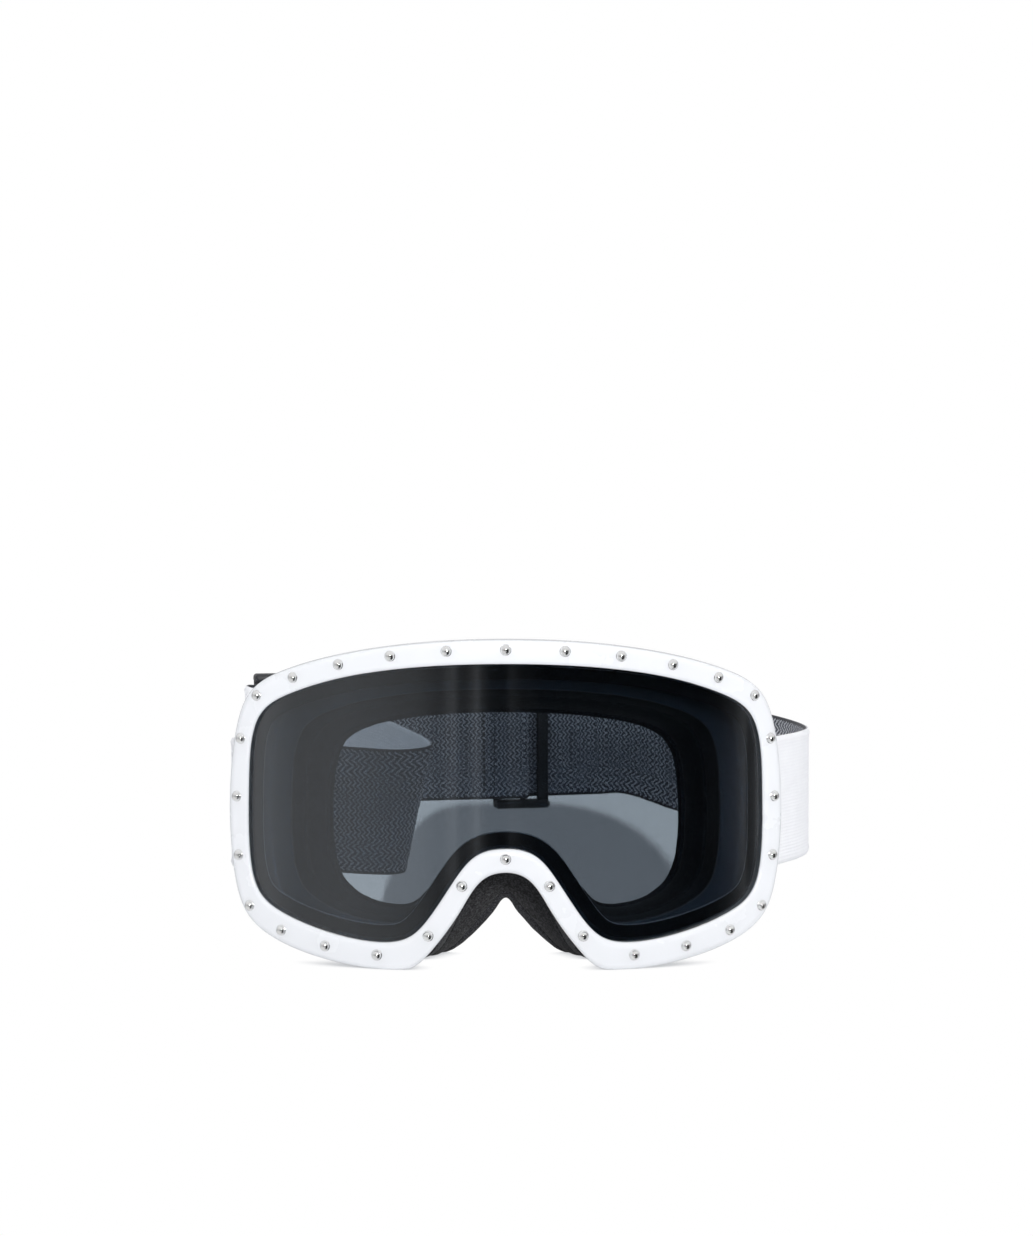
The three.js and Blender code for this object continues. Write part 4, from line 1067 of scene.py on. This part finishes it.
def make_straps(fabric, pale, dark):
    x, y, z = -CLIP_BAR.x - CLIP_LOOP, CLIP_BAR.y, CLIP_BAR.z
    bends = [(x, y, z), (x - 3.4, y + 7, 47), (x - 3.6, y + 14.5, 46.4), (x + 4, y + 20.8, 45.4),
             (x + 20, y + 21.8, 44), (-48, y + 21.5, 42.5), (-37, y + 22.5, 42),
             (-30.7, y + 27, 42.7), (-32, y + 35, 45), (-42, y + 48, 50), (-60, y + 63, 54),
             (-80, y + 77, 57), (-91, y + 85, 58.5), (-94.2, y + 88.6, 59.2),
             (-93.6, y + 91.6, 59.5),
             tuple(back_point(SLIDER_LEFT_AT - SLIDER_HALF - 0.5, -LAYER_OFFSET))]
    path = clip_loop(-1, bends)[:-1] + [Vector(p) for p in catmull(bends, 12)]
    path.append(back_point(SLIDER_LEFT_AT, -LAYER_OFFSET))
    turn = max(range(len(path)), key=lambda k: path[k][0])
    corner = sum((b - a).length for a, b in zip(path[:turn], path[1:turn + 1]))
    front, long = web("strap_front_left", path, inside_sign=-1.0,
                      lean=lambda u: -FOLD_LEAN * math.exp(-((u - corner) / FOLD_SPREAD) ** 2))
    finish_piece(front, "strap", fabric, "webbing", "strap_left")
    clip_seam("stitches_clip_left", pale, path, -1)

    path = [back_point(SLIDER_LEFT_AT + 0.5, -LAYER_OFFSET),
            *over_the_tab(SLIDER_LEFT_AT, SLIDER_RIGHT_AT, 1)]
    rear, _ = web("strap_rear_left", path, inside_sign=-1.0, u_start=long)
    finish_piece(rear, None, fabric, "webbing", "strap_tab_right")
    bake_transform(rear)

    x, bulge = -x, STRAP_BULGE
    bends = [(x, y, z), (x + bulge * 0.25, y + 9, z), (x + bulge * 0.7, y + 25, z),
             (x + bulge, y + 47, z), (x + bulge * 0.72, y + 73, 48.5), (x - 3, y + 96, 51),
             (x - 22, y + 112, 54), (x - 44, y + 119.8, 60.4),
             tuple(back_point(SLIDER_RIGHT_AT + SLIDER_TRAVEL + SLIDER_HALF, LAYER_OFFSET, 0.4))]
    path = clip_loop(1, bends)[:-1] + [Vector(p) for p in catmull(bends, 12)]
    path += over_the_tab(SLIDER_RIGHT_AT, SLIDER_LEFT_AT, -1)
    whole, _ = web("strap_whole_right", path, inside_sign=1.0)
    finish_piece(whole, None, fabric, "webbing", "strap_right", "strap_tab_left")
    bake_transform(whole)
    clip_seam("stitches_clip_right", pale, path, 1)
    seam("stitches_slider_right", "slider_right", dark,
         [(back_point(SLIDER_RIGHT_AT - row, TAB_FRONT), -AWAY) for row in STITCH_ROWS])
    seam("stitches_slider_left", "slider_left", pale,
         [(back_point(SLIDER_LEFT_AT + row, -TAB_FRONT), AWAY) for row in STITCH_ROWS])


# ---- camera, floor and light -----------------------------------------------------------------


def make_camera():
    distance, elevation = 950.0, math.radians(6.0)
    tilted_up, turned_right = math.radians(3.612), math.radians(0.2077)    # past the aim
    aim = Vector((0.0, 0.0, 52.0))
    eye = aim + Vector((0.0, -math.cos(elevation), math.sin(elevation))) * distance
    camera = bpy.data.cameras.new("camera")
    camera.sensor_fit = "VERTICAL"
    camera.sensor_height = 36.0
    camera.lens = 87.6
    camera.clip_end = 20.0
    found = new_object("camera", camera)
    found.rotation_euler = (math.pi / 2 - elevation + tilted_up, 0.0, -turned_right)
    found.location = place(eye)
    bpy.context.scene.camera = found


# The painted shade on the floor behind the lens: axis, middle and reach in metres, and the edge's
# power.
PAINTED_SHADE_PATCH = [
    ("X", ORIGIN.x + 0.014, -0.06, 6.0),
    ("X", ORIGIN.x + 0.014, 0.056, 2.2),
    ("Y", ORIGIN.y + 0.15, 0.37, 2.6),
]


def make_floor():
    """White paper, an even white to the camera with a thin painted shadow where the goggles stand,
    an emission darkened by ambient occlusion.
    Seen through the lenses it has a painted shade: an emitted grey patch where the head side of the
    goggles and the strap would shade it."""
    mesh = bpy.data.meshes.new("floor")
    size = 6.0
    corners = [(-size, -size, 0), (size, -size, 0), (size, size, 0), (-size, size, 0)]
    mesh.from_pydata(corners, [], [(0, 1, 2, 3)])
    floor = new_object("floor", mesh)
    n = Nodes("floor_paper")
    rays = n.add("ShaderNodeLightPath").outputs
    paper = n.shader(Base_Color=(0.86, 0.865, 0.88), Roughness=0.9, Specular_IOR_Level=0.1)

    # Painted shadow: an emitted grey that grows darker by ambient occlusion where the goggles stand
    # on the paper.
    nearby = n.add("ShaderNodeAmbientOcclusion", samples=12, Distance=0.006)
    painted_contact_tone = n.ramp(nearby.outputs["AO"], [
        (0.0, (0.5, 0.51, 0.53)), (0.3, (0.86, 0.865, 0.875)), (0.62, (1.0, 1.0, 1.0))])
    painted_contact_shadow = n.add("ShaderNodeEmission", Color=painted_contact_tone, Strength=1.0).outputs[0]

    axes = n.axes(n.coordinates())
    terms = []
    for axis, middle, half, power in PAINTED_SHADE_PATCH:
        share = n.math("DIVIDE", n.math("SUBTRACT", axes[axis], middle), half)
        side = n.math("ABSOLUTE", share) if axis == "Y" else n.math("MAXIMUM", share, 0.0)
        terms.append(n.math("POWER", side, power))
    painted_shade = n.spread(n.total(*terms), 1.0, 0.0, 0.85, 1.15)
    # Painted shade: inside the patch the floor behind the goggles emits grey; it is not shadowed by
    # the lamps.
    tone = n.mix(painted_shade, (1.0, 1.0, 1.0), (0.385, 0.39, 0.405))
    behind = n.add("ShaderNodeEmission", Color=tone, Strength=1.0).outputs[0]

    gone = n.add("ShaderNodeBsdfTransparent").outputs[0]
    head_side = n.math("GREATER_THAN", axes["Y"], ORIGIN.y)
    surface = n.either(rays["Is Glossy Ray"], paper, gone)
    surface = n.either(n.times(rays["Is Transmission Ray"], head_side), surface, behind)
    surface = n.either(rays["Is Camera Ray"], surface, painted_contact_shadow)
    floor.data.materials.append(n.finish(surface))


# What mirrors see, by the angle from straight ahead of the goggles, left is negative.
STUDIO = [
    (-180, 0.4), (-115, 0.45), (-80, 0.55), (-62, 0.6), (-57, 0.48), (-53, 0.41),
    (-40, 0.41), (-30, 0.34), (-22, 0.27), (-16, 0.14), (-13, 0.3), (-11, 0.09), (-9, 0.12),
    (-7, 0.26), (-5, 0.05), (-2, 0.02), (0.5, 0.02), (2, 0.11), (3, 0.03), (9, 0.006),
    (50, 0.006), (55, 0.02), (60, 0.1), (61.5, 0.3), (63, 0.1), (64.5, 0.12), (66.5, 0.5),
    (68.5, 0.62), (72, 0.25), (110, 0.35), (180, 0.4),
]
STUDIO_HEIGHTS = [      # the softbox above and the pale floor below, by height from -1 to 1
    (0.0, 0.75), (0.3, 0.7), (0.4, 0.0), (0.6, 0.0), (0.72, 0.85), (1.0, 1.0),
]
DARK_CORNER = (0.62, -0.45, -0.64)      # a black flag low on the right that the studs mirror


def make_world():
    """White to the camera, an even fill, and for mirrors a room with a window on the left."""
    n = Nodes("studio", world=True)
    direction = n.coordinates("Generated")
    axes = n.axes(direction)
    turn = n.math("ARCTAN2", axes["X"], n.times(axes["Y"], -1.0))
    bands = n.ramp(n.total(n.times(turn, 0.5 / math.pi), 0.5), [
        (angle / 360 + 0.5, (value / 2, value / 2 * 1.01, value / 2 * 1.03))
        for angle, value in STUDIO])
    above = n.ramp(n.total(n.times(axes["Z"], 0.5), 0.5), [
        (height, (value,) * 3) for height, value in STUDIO_HEIGHTS])
    away = n.add("ShaderNodeVectorMath", operation="DOT_PRODUCT")
    n.set(away.inputs[0], direction)
    n.set(away.inputs[1], Vector(DARK_CORNER).normalized())
    corner = n.ramp(away.outputs["Value"], [(0.8, (0.4,) * 3), (0.9, (0.01,) * 3)])

    def background(color, strength):
        return n.add("ShaderNodeBackground", Color=color, Strength=strength).outputs[0]

    rays = n.add("ShaderNodeLightPath").outputs
    surface = n.either(rays["Is Glossy Ray"], background((0.93, 0.95, 1.0), 0.48),
                       background(n.mix(above, bands, corner), 2.0))
    behind = n.times(rays["Is Transmission Ray"], n.math("GREATER_THAN", axes["Y"], 0.0))
    seen = n.math("MAXIMUM", rays["Is Camera Ray"], behind)
    bpy.context.scene.world = n.finish(
        n.either(seen, surface, background((1.0, 1.0, 1.0), 1.0)))


def area_light(name, position, target, size, power, mirrored=False):
    light = bpy.data.lights.new(name, "AREA")
    light.shape = "RECTANGLE"
    light.size, light.size_y = size
    light.energy = power
    found = new_object(name, light)
    found.location = position
    found.rotation_euler = (Vector(target) - Vector(position)).to_track_quat("-Z", "Y").to_euler()
    found.visible_glossy = mirrored
    found.visible_transmission = False


def make_lights():
    middle = (0.0, 0.0, 0.05)
    area_light("front_strobe", (0.12, -1.35, 0.37), middle, (0.16, 0.16), 7.8, mirrored=True)
    area_light("top_softbox", (0.0, 0.1, 1.2), middle, (1.4, 1.2), 7.6)
    area_light("left_softbox", (-1.2, -0.7, 0.6), middle, (0.8, 1.1), 3.3)
    area_light("back_softbox", (0.1, 1.5, 0.7), middle, (1.2, 0.9), 3.0)
    area_light("right_softbox", (1.3, -0.5, 0.5), middle, (0.7, 1.0), 4.0)


def main():
    bpy.context.scene.view_settings.view_transform = "Standard"
    make_camera()
    make_floor()
    make_world()
    make_lights()
    black = black_plastic("black_plastic", (0.02, 0.02, 0.022), (0.034, 0.034, 0.037), 0.5)
    glide = black_plastic("slider_plastic", (0.02, 0.021, 0.024), (0.035, 0.036, 0.04), 0.42)
    make_rim(white_plastic())
    make_studs(stud_chrome())
    make_lenses(smoke_lens(), clear_lens(),
                foam("spacer_foam", (0.006, 0.006, 0.007), (0.016, 0.016, 0.018), 0.0005, 0.2),
                foam("cut_edge", (0.2, 0.21, 0.23), (0.3, 0.31, 0.33), 0.0005, 0.2))
    make_chassis(black, black_plastic("matt_plastic", (0.12, 0.135, 0.16), (0.16, 0.175, 0.2), 0.7))
    make_foam(
        foam("dense_foam", (0.032, 0.032, 0.034), (0.085, 0.085, 0.09), 0.0006, 0.4),
        foam("soft_foam", (0.014, 0.014, 0.015), (0.042, 0.042, 0.045), 0.0008, 0.5),
        foam("fleece", (0.016, 0.016, 0.018), (0.05, 0.05, 0.056), 0.0005, 0.5),
        # A darker copy of the foam, painted shade for the foam's inner walls.
        foam("painted_shade_foam", (0.004, 0.004, 0.005), (0.012, 0.012, 0.014), 0.0008, 0.2))
    make_vent_foam(foam("vent_foam", (0.008, 0.008, 0.01), (0.05, 0.05, 0.056), 0.0014, 0.3))
    make_clips(black, steel())
    make_sliders(glide)
    make_straps(webbing("webbing"), thread("pale_thread", (0.7, 0.7, 0.72), (0.85, 0.85, 0.87)),
                thread("dark_thread", (0.02, 0.02, 0.024), (0.06, 0.06, 0.066)))


main()
